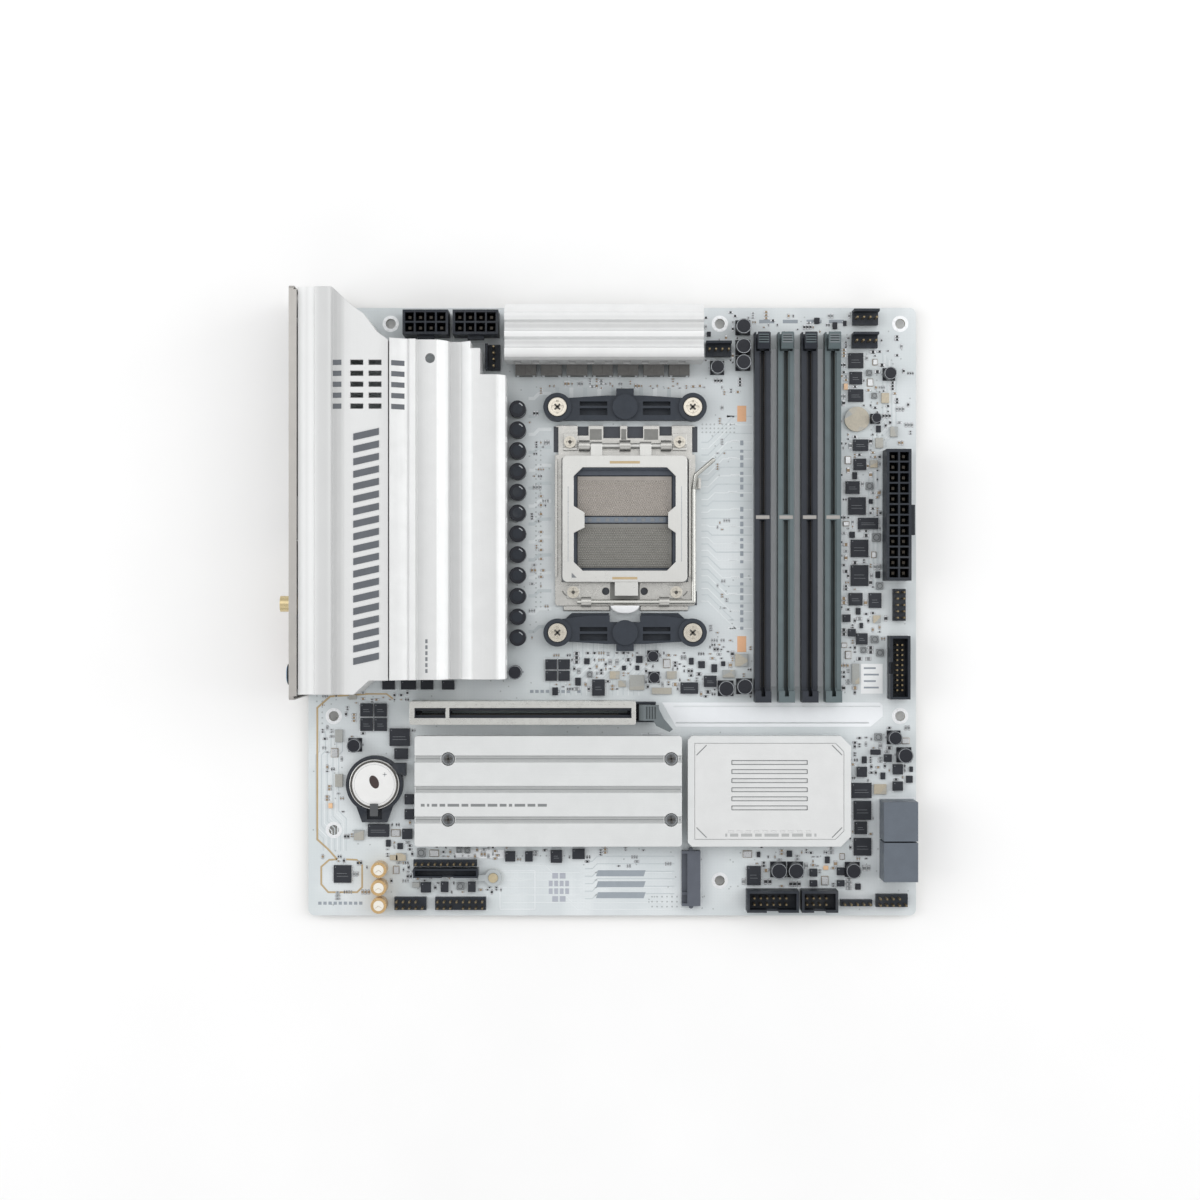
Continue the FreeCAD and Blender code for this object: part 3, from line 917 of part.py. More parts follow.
CANS = [
    (52.4, 113.9, 3.00, 6.5), (52.4, 106.0, 3.00, 6.5), (52.4, 99.6, 3.00, 6.5), (42.1, 97.8, 2.80, 5.5),
    (112.9, -50.4, 2.75, 6.5), (117.0, -57.4, 3.00, 6.5), (96.3, -103.4, 3.00, 6.5), (66.5, -103.4, 3.15, 6.5),
    (73.4, -103.4, 3.15, 6.5), (16.3, -17.8, 2.25, 5.5), (16.8, -26.3, 2.25, 5.5), (45.5, -30.7, 3.15, 6.5),
    (52.9, -29.9, 3.15, 6.5), (-103.1, -53.4, 2.75, 6.5), (105.5, 77.4, 2.00, 5.5), (111.0, 95.2, 2.50, 6.0),
]
GOLD = [(-93.1, -102.9, 3.15, 7.0), (-93.1, -110.0, 3.15, 7.0), (-93.1, -117.1, 3.15, 7.0)]
PT = cells["pcb_thick"]
chips = solids("Ics", [Cc(x, y, PT, w, l, h) for x, y, w, l, h in ICS] + [Cc(x, y, PT, w, l, 1.8) for x, y, w, l in DARK])
node(group(chips, *stages), "controller_chips")
node(solids("Passives", [Cc(x, y, PT, w, l, 1.2) for x, y, w, l in LIGHT] + [Cc(x, y, PT, w, l, 1.0) for x, y, w, l in BEIGE]
            + [Part.makeCylinder(5.0, 1.4, V(98.1, 77.2, PT))]), "small_passives")
can_shapes = []
for x, y, r, h in CANS:
    foot = Cc(x, y, PT, 2 * r, 2 * r, 0.8)
    can_shapes.append(foot.fuse(Part.makeCylinder(r, h - 0.8, V(x, y, PT + 0.8))).removeSplitter())
node(group(solids("Cans", can_shapes), *cans), "capacitors")
node(solids("Golds", [Part.makeCylinder(r, h, V(x, y, PT)) for x, y, r, h in GOLD]), "audio_caps")
node(solids("Leds", [Cc(93.7, 90.3, PT, 1.6, 2.4, 0.8), Cc(85.7, -102.7, PT, 2.0, 1.6, 0.8), Cc(-113.0, -77.8, PT, 1.6, 2.0, 0.8)]),
     "status_leds")
# solder tails under the board, in the rows of the through-hole parts above them
tails = []
for k in range(4):
    x = cells["dimm_x"] + cells["dimm_pitch"] * k
    tails += [Part.makeCone(0.75, 0.35, 1.0, V(x, y, 0), V(0, 0, -1)) for y in (-34.6, 38.0, 105.4)]
for x0, y0, nx, ny in [(111.6, 15.35, 2, 12)]:
    tails += [Part.makeCone(1.0, 0.5, 1.4, V(x0 + 4.2 * i, y0 + 4.2 * j, 0), V(0, 0, -1)) for i in range(nx) for j in range(ny)]
for x0 in (-80.3, -60.5):
    tails += [Part.makeCone(1.0, 0.5, 1.4, V(x0 + 4.2 * i, 112.6 + 4.2 * j, 0), V(0, 0, -1)) for i in range(4) for j in range(2)]
for x0, y0, nx, ny, px0, py0 in [(-76.0, -42.0, 28, 2, 3.0, 3.9), (113.4, -31.2, 2, 10, 2.0, 2.0), (-85.93, -118.1, 5, 2, 2.54, 2.54),
                                 (-69.63, -118.1, 8, 2, 2.54, 2.54), (106.9, -117.0, 5, 2, 2.54, 2.54), (-119.0, 90.0, 3, 3, 4.0, 5.0),
                                 (-119.0, 71.0, 3, 3, 4.0, 5.0), (-119.0, 52.0, 2, 3, 4.0, 5.0), (-119.0, 30.0, 4, 4, 4.0, 4.4),
                                 (-119.0, -27.0, 3, 2, 4.0, 6.0), (107.0, -105.0, 2, 7, 5.0, 4.6)]:
    tails += [Part.makeCone(0.7, 0.35, 1.2, V(x0 + px0 * i, y0 + py0 * j, 0), V(0, 0, -1)) for i in range(nx) for j in range(ny)]
node(solids("Tails", tails), "solder_tails")

# ================================================================ check and write
doc.recompute()
bad = [o.Name for o in doc.Objects if "Invalid" in o.State or "Error" in o.State]
if bad:
    raise SystemExit("objects that failed: " + ", ".join(bad))
os.makedirs("parts", exist_ok=True)
for o in NODES:
    if o.Shape.isNull() or not o.Shape.isValid() or not o.Shape.Solids:
        raise SystemExit("no valid solid in " + o.Label)
    o.Shape.exportStep(os.path.join("parts", o.Label + ".step"))
    bb = o.Shape.BoundBox
    print(f"{o.Label:24s} {len(o.Shape.Solids):4d} solids  x {bb.XMin:8.2f} {bb.XMax:8.2f}  y {bb.YMin:8.2f} {bb.YMax:8.2f}"
          f"  z {bb.ZMin:6.2f} {bb.ZMax:6.2f}")
print(len(NODES), "nodes")
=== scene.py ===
import bpy
import json
import math
import random
from mathutils import Vector, Matrix


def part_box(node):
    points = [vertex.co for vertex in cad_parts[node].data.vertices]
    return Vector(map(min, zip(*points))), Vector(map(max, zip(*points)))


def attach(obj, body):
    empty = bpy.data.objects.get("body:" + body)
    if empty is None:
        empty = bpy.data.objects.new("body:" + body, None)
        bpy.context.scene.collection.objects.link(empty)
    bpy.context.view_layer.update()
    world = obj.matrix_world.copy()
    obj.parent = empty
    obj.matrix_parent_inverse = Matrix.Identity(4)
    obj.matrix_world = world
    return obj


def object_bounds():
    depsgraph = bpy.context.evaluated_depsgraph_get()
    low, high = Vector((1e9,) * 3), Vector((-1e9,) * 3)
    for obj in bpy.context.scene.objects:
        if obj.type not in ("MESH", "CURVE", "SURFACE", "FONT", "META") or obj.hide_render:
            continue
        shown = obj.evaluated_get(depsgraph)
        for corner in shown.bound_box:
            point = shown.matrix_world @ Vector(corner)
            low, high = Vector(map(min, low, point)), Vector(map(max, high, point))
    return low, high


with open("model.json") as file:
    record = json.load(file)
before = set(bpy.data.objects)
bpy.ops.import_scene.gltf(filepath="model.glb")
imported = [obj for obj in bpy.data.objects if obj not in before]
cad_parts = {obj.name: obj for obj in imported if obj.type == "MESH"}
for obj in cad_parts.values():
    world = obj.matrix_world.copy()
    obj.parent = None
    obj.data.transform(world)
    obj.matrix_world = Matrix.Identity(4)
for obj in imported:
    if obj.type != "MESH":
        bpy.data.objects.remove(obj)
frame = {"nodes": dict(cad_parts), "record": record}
CAD_LO, CAD_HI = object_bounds()
OX, OY = 111.76, 41.91            # board centre in the row frame, mm
rnd = random.Random(7)


def W(x, y, z):
    """Millimetres about the board centre to metres in the row frame."""
    return ((x + OX) / 1000.0, (y + OY) / 1000.0, z / 1000.0)


# ------------------------------------------------------------------ materials
def lin(c):
    c = c / 255.0
    return c / 12.92 if c <= 0.04045 else ((c + 0.055) / 1.055) ** 2.4


def rgb(r, g, b, k=1.0):
    return (min(1.0, lin(r) * k), min(1.0, lin(g) * k), min(1.0, lin(b) * k), 1.0)


class Nodes:
    def __init__(self, name):
        self.m = bpy.data.materials.new(name)
        self.m.use_nodes = True
        self.t = self.m.node_tree
        self.p = next(n for n in self.t.nodes if n.type == "BSDF_PRINCIPLED")
        self.tc = self.t.nodes.new("ShaderNodeTexCoord")

    def add(self, kind, **sockets):
        n = self.t.nodes.new(kind)
        for k, v in sockets.items():
            n.inputs[k.replace("_", " ")].default_value = v
        return n

    def link(self, a, b):
        self.t.links.new(a, b)

    def coords(self, scale):
        m = self.add("ShaderNodeMapping")
        m.inputs["Scale"].default_value = scale
        self.link(self.tc.outputs["Object"], m.inputs["Vector"])
        return m.outputs["Vector"]

    def noise(self, scale, detail=3.0, rough=0.55, stretch=(1, 1, 1)):
        n = self.add("ShaderNodeTexNoise", Scale=scale, Detail=detail, Roughness=rough)
        self.link(self.coords(stretch), n.inputs["Vector"])
        return n.outputs["Fac"]

    def remap(self, fac, lo, hi, a=0.3, b=0.7):
        n = self.add("ShaderNodeMapRange")
        n.inputs["From Min"].default_value, n.inputs["From Max"].default_value = a, b
        n.inputs["To Min"].default_value, n.inputs["To Max"].default_value = lo, hi
        self.link(fac, n.inputs["Value"])
        return n.outputs["Result"]

    def mix(self, fac, a, b):
        n = self.t.nodes.new("ShaderNodeMix")
        n.data_type = "RGBA"
        for s, v in ((n.inputs[6], a), (n.inputs[7], b)):
            if isinstance(v, tuple):
                s.default_value = v
            else:
                self.link(v, s)
        if isinstance(fac, float):
            n.inputs[0].default_value = fac
        else:
            self.link(fac, n.inputs[0])
        return n.outputs[2]

    def math(self, op, a, b=None):
        n = self.t.nodes.new("ShaderNodeMath")
        n.operation = op
        for s, v in ((n.inputs[0], a), (n.inputs[1], b)):
            if v is None:
                continue
            if isinstance(v, (int, float)):
                s.default_value = v
            else:
                self.link(v, s)
        return n.outputs[0]

    def painted_facet_light(self, colour, which, stops):
        """Painted light and shade: lighter and darker bands along a machined face, standing in for how light falls on
        its facets, by position in board millimetres.
        """
        off = OX if which == 0 else OY
        lo, hi = stops[0][0], stops[-1][0]
        f = self.remap(self.axis(which), 0.0, 1.0, (lo + off) / 1000.0, (hi + off) / 1000.0)
        r = self.t.nodes.new("ShaderNodeValToRGB")
        el = r.color_ramp.elements
        while len(el) < len(stops):
            el.new(0.5)
        for e, (p, v) in zip(el, stops):
            e.position = (p - lo) / (hi - lo)
        for e, (p, v) in zip(sorted(el, key=lambda e: e.position), stops):
            e.color = (v * 0.8, v * 0.8, v * 0.8, 1.0)
        self.link(f, r.inputs["Fac"])
        n = self.t.nodes.new("ShaderNodeMix")
        n.data_type = "RGBA"
        n.blend_type = "MULTIPLY"
        n.inputs[0].default_value = 1.0
        self.link(colour, n.inputs[6])
        self.link(r.outputs["Color"], n.inputs[7])
        g = self.t.nodes.new("ShaderNodeMix")
        g.data_type = "RGBA"
        g.blend_type = "MULTIPLY"
        g.inputs[0].default_value = 1.0
        self.link(n.outputs[2], g.inputs[6])
        g.inputs[7].default_value = (1.25, 1.25, 1.25, 1.0)
        return g.outputs[2]

    def axis(self, which):
        s = self.t.nodes.new("ShaderNodeSeparateXYZ")
        self.link(self.tc.outputs["Object"], s.inputs[0])
        return s.outputs[which]


def shade(c, k):
    return (min(1, c[0] * k), min(1, c[1] * k), min(1, c[2] * k), 1.0)


def material(name, colour, rough=0.5, metal=0.0, var=0.08, vscale=120.0, grain=0.0, gscale=2500.0,
             streak=None, streak_k=0.0, edge=0.0, round_mm=0.12, coat=0.0, dust=0.0, spec=0.5, painted_facet_light=None):
    """A procedural finish: slow and fast colour variation, brushed streaks along an axis, softened edges painted
    lighter, partly wear and partly painted highlight, and roughness and bump that follow the same patterns."""
    k = Nodes(name)
    base = k.mix(k.remap(k.noise(vscale, 4.0), 0.0, 1.0), shade(colour, 1 - var), shade(colour, 1 + var * 0.6))
    fine = k.noise(gscale, 2.0)
    base = k.mix(k.remap(fine, 0.0, 0.35), base, shade(colour, 1 - var * 1.4))
    height = fine
    rough_out = k.remap(k.noise(vscale * 2.3, 3.0), rough * 0.86, min(1.0, rough * 1.16))
    if streak:
        st = {"X": (6.0, 900.0, 900.0), "Y": (900.0, 6.0, 900.0), "Z": (900.0, 900.0, 6.0)}[streak]
        lines = k.noise(4.0, 5.0, 0.7, st)
        base = k.mix(k.remap(lines, 0.0, streak_k), base, shade(colour, 0.72))
        base = k.mix(k.remap(lines, 0.0, streak_k * 0.8, 0.62, 0.8), base, shade(colour, 1.25))
        height = lines
        rough_out = k.math("ADD", rough_out, k.remap(lines, -0.06, 0.06))
    bev = k.add("ShaderNodeBevel")
    bev.samples = 4
    bev.inputs["Radius"].default_value = round_mm / 1000.0
    # lighter edges: partly wear, partly painted highlight
    if edge:
        geo = k.t.nodes.new("ShaderNodeNewGeometry")
        dot = k.t.nodes.new("ShaderNodeVectorMath")
        dot.operation = "DOT_PRODUCT"
        k.link(bev.outputs["Normal"], dot.inputs[0])
        k.link(geo.outputs["Normal"], dot.inputs[1])
        edge_wear_and_highlight_mask = k.remap(dot.outputs["Value"], edge, 0.0, 0.80, 0.985)
        edge_wear_and_highlight_mask = k.math("MULTIPLY", edge_wear_and_highlight_mask, k.remap(k.noise(700.0, 3.0), 0.35, 1.0))
        base = k.mix(edge_wear_and_highlight_mask, base, shade(colour, 1.55))
    # painted light and shade across the facets, where given
    if painted_facet_light:
        base = k.painted_facet_light(base, *painted_facet_light)
    if dust:
        d = k.remap(k.noise(60.0, 6.0, 0.65), 0.0, dust, 0.5, 0.75)
        base = k.mix(d, base, (0.62, 0.61, 0.58, 1.0))
    bump = k.t.nodes.new("ShaderNodeBump")
    bump.inputs["Strength"].default_value = grain
    bump.inputs["Distance"].default_value = 0.00005
    k.link(height, bump.inputs["Height"])
    k.link(bev.outputs["Normal"], bump.inputs["Normal"])
    k.link(bump.outputs["Normal"], k.p.inputs["Normal"])
    k.link(base, k.p.inputs["Base Color"])
    k.link(rough_out, k.p.inputs["Roughness"])
    k.p.inputs["Metallic"].default_value = metal
    k.p.inputs["Specular IOR Level"].default_value = spec
    if coat:
        k.p.inputs["Coat Weight"].default_value = coat
        k.p.inputs["Coat Roughness"].default_value = 0.15
    return k.m


def pcb_material():
    """White solder mask: slightly cool, a faint glass weave, soft copper areas showing through."""
    k = Nodes("solder_mask")
    c = rgb(212, 218, 220)
    base = k.mix(k.remap(k.noise(26.0, 3.0), 0.0, 1.0, 0.4, 0.6), rgb(205, 212, 214), rgb(218, 223, 225))
    cell = k.add("ShaderNodeTexVoronoi", Scale=70.0)
    cell.distance = "CHEBYCHEV"
    k.link(k.coords((1, 1, 1)), cell.inputs["Vector"])
    base = k.mix(k.remap(cell.outputs["Distance"], 0.0, 0.5, 0.3, 0.5), base, rgb(203, 209, 212))
    weave = k.add("ShaderNodeTexWave", Scale=260.0, Distortion=0.0)
    weave.bands_direction = "X"
    k.link(k.coords((1, 1, 1)), weave.inputs["Vector"])
    weave2 = k.add("ShaderNodeTexWave", Scale=260.0, Distortion=0.0)
    weave2.bands_direction = "Y"
    k.link(k.coords((1, 1, 1)), weave2.inputs["Vector"])
    w = k.math("MULTIPLY", weave.outputs["Fac"], weave2.outputs["Fac"])
    base = k.mix(k.remap(w, 0.0, 0.16, 0.2, 0.9), base, rgb(196, 203, 206))
    # the cut edge of the board is raw laminate
    geo = k.t.nodes.new("ShaderNodeNewGeometry")
    s = k.t.nodes.new("ShaderNodeSeparateXYZ")
    k.link(geo.outputs["True Normal"], s.inputs[0])
    up = k.math("ABSOLUTE", s.outputs[2])
    side = k.remap(up, 1.0, 0.0, 0.3, 0.6)
    lam = k.mix(k.remap(k.noise(900.0, 3.0, 0.6, (1, 1, 6)), 0.0, 1.0), rgb(186, 182, 158), rgb(160, 156, 132))
    base = k.mix(side, base, lam)
    k.link(base, k.p.inputs["Base Color"])
    k.link(k.remap(k.noise(300.0, 2.0), 0.34, 0.46), k.p.inputs["Roughness"])
    bump = k.t.nodes.new("ShaderNodeBump")
    bump.inputs["Strength"].default_value = 0.12
    bump.inputs["Distance"].default_value = 0.00004
    k.link(k.math("ADD", w, k.noise(1800.0, 2.0)), bump.inputs["Height"])
    k.link(bump.outputs["Normal"], k.p.inputs["Normal"])
    return k.m


M = {}
M["pcb"] = pcb_material()
white_alu = dict(metal=0.25, rough=0.42, var=0.035, grain=0.25, gscale=1800.0, edge=0.5)
M["alu_y"] = material("silver_white_extrusion_y", rgb(226, 227, 227), streak="Y", streak_k=0.10, round_mm=0.3, **white_alu)
# the left and top sinks carry painted light and shade in bands along their facets
M["sink_left"] = material("silver_white_extrusion_left", rgb(230, 231, 231), streak="Y", streak_k=0.10, round_mm=0.3, painted_facet_light=(0, [
    (-85.8, 0.84), (-83.0, 0.84), (-80.2, 0.92), (-78.0, 1.02), (-76.2, 1.02), (-75.4, 0.84), (-74.2, 0.84), (-71.0, 0.90), (-68.3, 0.92),
    (-67.8, 1.16), (-65.6, 1.18), (-64.2, 1.10), (-63.4, 0.86), (-62.8, 0.76), (-60.2, 0.76), (-59.0, 0.92), (-58.4, 1.12),
    (-55.2, 1.18), (-54.4, 0.92), (-50.0, 0.88), (-45.6, 0.84), (-44.8, 1.0), (-44.2, 1.2), (-41.8, 1.2)]), **white_alu)
M["sink_top"] = material("silver_white_extrusion_top", rgb(230, 231, 231), streak="X", streak_k=0.12, round_mm=0.3, painted_facet_light=(1, [
    (98.4, 0.70), (100.0, 0.74), (100.8, 0.87), (102.3, 0.97), (103.1, 1.12), (103.8, 0.94), (104.6, 0.80), (105.4, 0.74), (106.3, 0.92),
    (106.9, 1.06), (107.7, 0.94), (108.5, 0.99), (109.3, 1.07), (110.0, 1.12), (110.8, 0.80), (111.6, 0.72), (112.4, 0.76), (113.1, 1.0),
    (113.9, 0.93), (114.7, 0.88), (115.6, 0.94), (116.4, 0.98), (117.4, 1.1), (120.6, 1.1)]), **white_alu)
M["plate_white"] = material("satin_white_plate", rgb(220, 221, 221), streak="X", streak_k=0.06, round_mm=0.25, **white_alu)
M["alu_x"] = material("silver_white_extrusion_x", rgb(219, 221, 221), streak="X", streak_k=0.12, round_mm=0.3, **white_alu)
# the cover carries painted light and shade in bands along its facets
M["cover"] = material("satin_white_cover", rgb(226, 227, 227), rough=0.46, metal=0.12, var=0.03, vscale=40.0, grain=0.35,
                      gscale=2600.0, streak="Y", streak_k=0.05, edge=0.4, round_mm=0.35, painted_facet_light=(0, [
                          (-120.8, 1.16), (-118.6, 1.16), (-117.4, 1.02), (-116.0, 1.14), (-114.8, 1.12), (-114.0, 0.92), (-112.4, 0.80),
                          (-109.8, 0.78), (-108.6, 0.84), (-107.6, 0.80), (-106.6, 0.68), (-104.6, 0.66), (-103.6, 0.74), (-102.6, 0.88),
                          (-100.0, 0.92), (-90.0, 0.92), (-88.0, 0.88), (-86.2, 0.84)]))
M["shield"] = material("shield_steel", rgb(182, 179, 175), rough=0.38, metal=0.6, var=0.05, grain=0.2, streak="Y",
                       streak_k=0.12, edge=0.4, round_mm=0.2)
M["steel"] = material("stamped_steel", rgb(214, 214, 210), rough=0.3, metal=0.85, var=0.05, vscale=160.0, grain=0.13,
                      streak="X", streak_k=0.14, edge=0.5, round_mm=0.25)
M["plate_steel"] = material("load_plate_steel", rgb(212, 212, 209), rough=0.34, metal=0.75, var=0.04, vscale=90.0, grain=0.12,
                            streak="Y", streak_k=0.12, edge=0.6, round_mm=0.3)
M["frame_steel"] = material("stamped_frame_steel", rgb(198, 197, 193), rough=0.3, metal=0.8, var=0.11, vscale=240.0, grain=0.14,
                            streak="X", streak_k=0.16, edge=0.6, round_mm=0.3)
M["wire"] = material("wire_steel", rgb(205, 205, 200), rough=0.24, metal=0.9, var=0.05, grain=0.1, streak="Y", streak_k=0.08)
M["nickel"] = material("nickel_screw", rgb(216, 209, 196), rough=0.26, metal=0.9, var=0.07, vscale=400.0, grain=0.15, edge=0.4)
M["dark_screw"] = material("dark_nickel_screw", rgb(114, 116, 118), rough=0.36, metal=0.8, var=0.08, vscale=500.0, grain=0.2, edge=0.5)
M["zinc"] = material("zinc_screw", rgb(206, 201, 190), rough=0.3, metal=0.85, var=0.09, vscale=500.0, grain=0.2, edge=0.4)
M["black"] = material("black_moulding", rgb(40, 45, 53), rough=0.5, spec=0.3, var=0.14, vscale=260.0, grain=0.5, gscale=3000.0, edge=0.35, dust=0.05)
M["slot_black"] = material("slot_black", rgb(45, 49, 57), rough=0.42, spec=0.3, var=0.12, vscale=200.0, grain=0.4, gscale=3200.0, edge=0.3)
M["slot_grey"] = material("slot_grey", rgb(95, 107, 110), rough=0.44, spec=0.3, var=0.10, vscale=200.0, grain=0.4, gscale=3200.0, edge=0.3)
M["bracket"] = material("bracket_moulding", rgb(47, 53, 62), rough=0.48, spec=0.35, var=0.14, vscale=220.0, grain=0.7, gscale=2400.0, edge=0.45)
M["sata"] = material("blue_grey_moulding", rgb(94, 102, 112), rough=0.46, var=0.09, vscale=200.0, grain=0.5, gscale=2600.0, edge=0.35)
M["m2"] = material("dark_blue_moulding", rgb(86, 91, 101), rough=0.45, var=0.10, vscale=240.0, grain=0.4, edge=0.3)
M["chip"] = material("chip_epoxy", rgb(42, 45, 52), rough=0.56, spec=0.35, var=0.12, vscale=500.0, grain=0.8, gscale=5200.0, edge=0.25)
M["ferrite"] = material("pressed_ferrite", rgb(98, 97, 95), rough=0.62, var=0.16, vscale=700.0, grain=1.0, gscale=3600.0, edge=0.2)
M["contacts"] = material("contact_carrier", rgb(120, 118, 113), rough=0.6, var=0.10, vscale=300.0, grain=0.5)
M["gold"] = material("pale_gold_plate", rgb(220, 202, 158), rough=0.3, metal=0.8, var=0.08, vscale=900.0, grain=0.1)
M["pin"] = material("gold_flash_pin", rgb(132, 117, 88), rough=0.34, metal=0.8, var=0.10, vscale=900.0, grain=0.1)
M["pad"] = material("thermal_pad", rgb(150, 158, 168), rough=0.85, var=0.10, vscale=300.0, grain=1.0, gscale=1400.0)
M["back"] = material("backplate_coat", rgb(34, 35, 38), rough=0.55, metal=0.2, var=0.12, vscale=150.0, grain=0.8, gscale=2200.0, edge=0.4)
M["tin"] = material("tinned_shell", rgb(188, 190, 192), rough=0.32, metal=0.85, var=0.07, vscale=180.0, grain=0.3, edge=0.4)
M["battery"] = material("battery_can", rgb(240, 240, 239), rough=0.34, metal=0.35, var=0.04, vscale=150.0, grain=0.2, edge=0.3, round_mm=0.3)
M["solder"] = material("solder", rgb(198, 200, 204), rough=0.28, metal=0.9, var=0.10, vscale=900.0, grain=0.3)
M["cap"] = material("dark_can", rgb(36, 38, 45), rough=0.38, metal=0.2, spec=0.35, var=0.10, vscale=420.0, grain=0.2, edge=0.7, round_mm=0.35)
M["gold_cap"] = material("gold_can", rgb(212, 178, 128), rough=0.3, metal=0.55, var=0.08, vscale=420.0, grain=0.15, edge=0.5, round_mm=0.3)
M["inlay"] = material("charcoal_inlay", rgb(92, 96, 102), rough=0.5, var=0.10, vscale=300.0, grain=0.4, edge=0.2)
M["led"] = material("led_lens", rgb(230, 190, 150), rough=0.2, var=0.10, vscale=800.0, coat=0.6)
M["socket_black"] = material("socket_moulding", rgb(70, 77, 88), rough=0.5, var=0.10, vscale=220.0, grain=0.5, gscale=2600.0, edge=0.3)
M["dull_clip"] = material("dull_spring_clip", rgb(92, 94, 96), rough=0.42, metal=0.6, var=0.08, vscale=400.0, grain=0.2, edge=0.4)
M["white_plastic"] = material("white_moulding", rgb(232, 233, 234), rough=0.4, var=0.04, vscale=300.0, grain=0.3, edge=0.3)
M["brass"] = material("brass_post", rgb(204, 190, 158), rough=0.36, metal=0.6, var=0.10, vscale=500.0, grain=0.2, edge=0.4)


def ring_material():
    """Dark port inserts; the jack rings take a tint from where they sit."""
    k = Nodes("port_inserts")
    z, y = k.axis(2), k.axis(1)
    dark = k.mix(k.remap(k.noise(400.0), 0.0, 1.0), rgb(26, 30, 36), rgb(44, 48, 54))
    isjack = k.remap(y, 1.0, 0.0, (0 + OY) / 1000.0, (1 + OY) / 1000.0)
    low = k.remap(z, 0.0, 1.0, 0.0142, 0.0144)
    high = k.remap(z, 0.0, 1.0, 0.0268, 0.0270)
    tint = k.mix(low, rgb(214, 128, 150), rgb(120, 190, 130))
    tint = k.mix(high, tint, rgb(128, 176, 214))
    tint = k.mix(k.remap(k.noise(900.0), 0.0, 0.25), tint, rgb(70, 80, 90))
    k.link(k.mix(isjack, dark, tint), k.p.inputs["Base Color"])
    k.link(k.remap(k.noise(700.0), 0.38, 0.5), k.p.inputs["Roughness"])
    return k.m


M["latch_grey"] = material("translucent_latch", rgb(178, 184, 186), rough=0.32, var=0.06, vscale=300.0, coat=0.3)
M["clip_grey"] = material("grey_green_clip", rgb(100, 108, 111), rough=0.42, var=0.10, vscale=260.0, grain=0.4, edge=0.3)


def passive_material():
    """Small ceramic and metal parts: each one a little different, a little metallic all over."""
    k = Nodes("small_parts")
    v = k.add("ShaderNodeTexVoronoi", Scale=110.0)
    k.link(k.coords((1, 1, 1)), v.inputs["Vector"])
    s = k.t.nodes.new("ShaderNodeSeparateColor")
    k.link(v.outputs["Color"], s.inputs[0])
    base = k.mix(k.remap(s.outputs[0], 0.0, 1.0, 0.2, 0.8), rgb(166, 170, 170), rgb(190, 180, 160))
    base = k.mix(k.remap(k.noise(1500.0), 0.0, 0.3), base, rgb(140, 138, 130))
    k.link(base, k.p.inputs["Base Color"])
    k.link(k.remap(k.noise(600.0), 0.3, 0.5), k.p.inputs["Roughness"])
    k.p.inputs["Metallic"].default_value = 0.3
    bev = k.add("ShaderNodeBevel")
    bev.inputs["Radius"].default_value = 0.0002
    k.link(bev.outputs["Normal"], k.p.inputs["Normal"])
    return k.m


M["rings"] = ring_material()


def pin_material():
    """Gold-flashed pins; the ones deep in the power sockets are in shade and dull."""
    k = Nodes("gold_flash_pins")
    x, y = k.axis(0), k.axis(1)
    front = k.math("MULTIPLY", k.remap(x, 0.0, 1.0, (107.0 + OX) / 1000, (108.0 + OX) / 1000), k.remap(y, 0.0, 1.0, (11.0 + OY) / 1000, (12.0 + OY) / 1000))
    rear = k.math("MULTIPLY", k.remap(x, 1.0, 0.0, (-45.0 + OX) / 1000, (-44.0 + OX) / 1000), k.remap(y, 0.0, 1.0, (107.0 + OY) / 1000, (108.0 + OY) / 1000))
    top = k.remap(y, 1.0, 0.0, (66.0 + OY) / 1000, (67.0 + OY) / 1000)
    deep = k.math("MAXIMUM", k.math("MULTIPLY", front, top), rear)
    worn = k.mix(k.remap(k.noise(900.0), 0.0, 1.0, 0.35, 0.65), rgb(126, 111, 82), rgb(142, 127, 98))
    k.link(k.mix(deep, worn, rgb(66, 62, 56)), k.p.inputs["Base Color"])
    k.link(k.remap(k.noise(700.0), 0.30, 0.42), k.p.inputs["Roughness"])
    k.p.inputs["Metallic"].default_value = 0.75
    return k.m


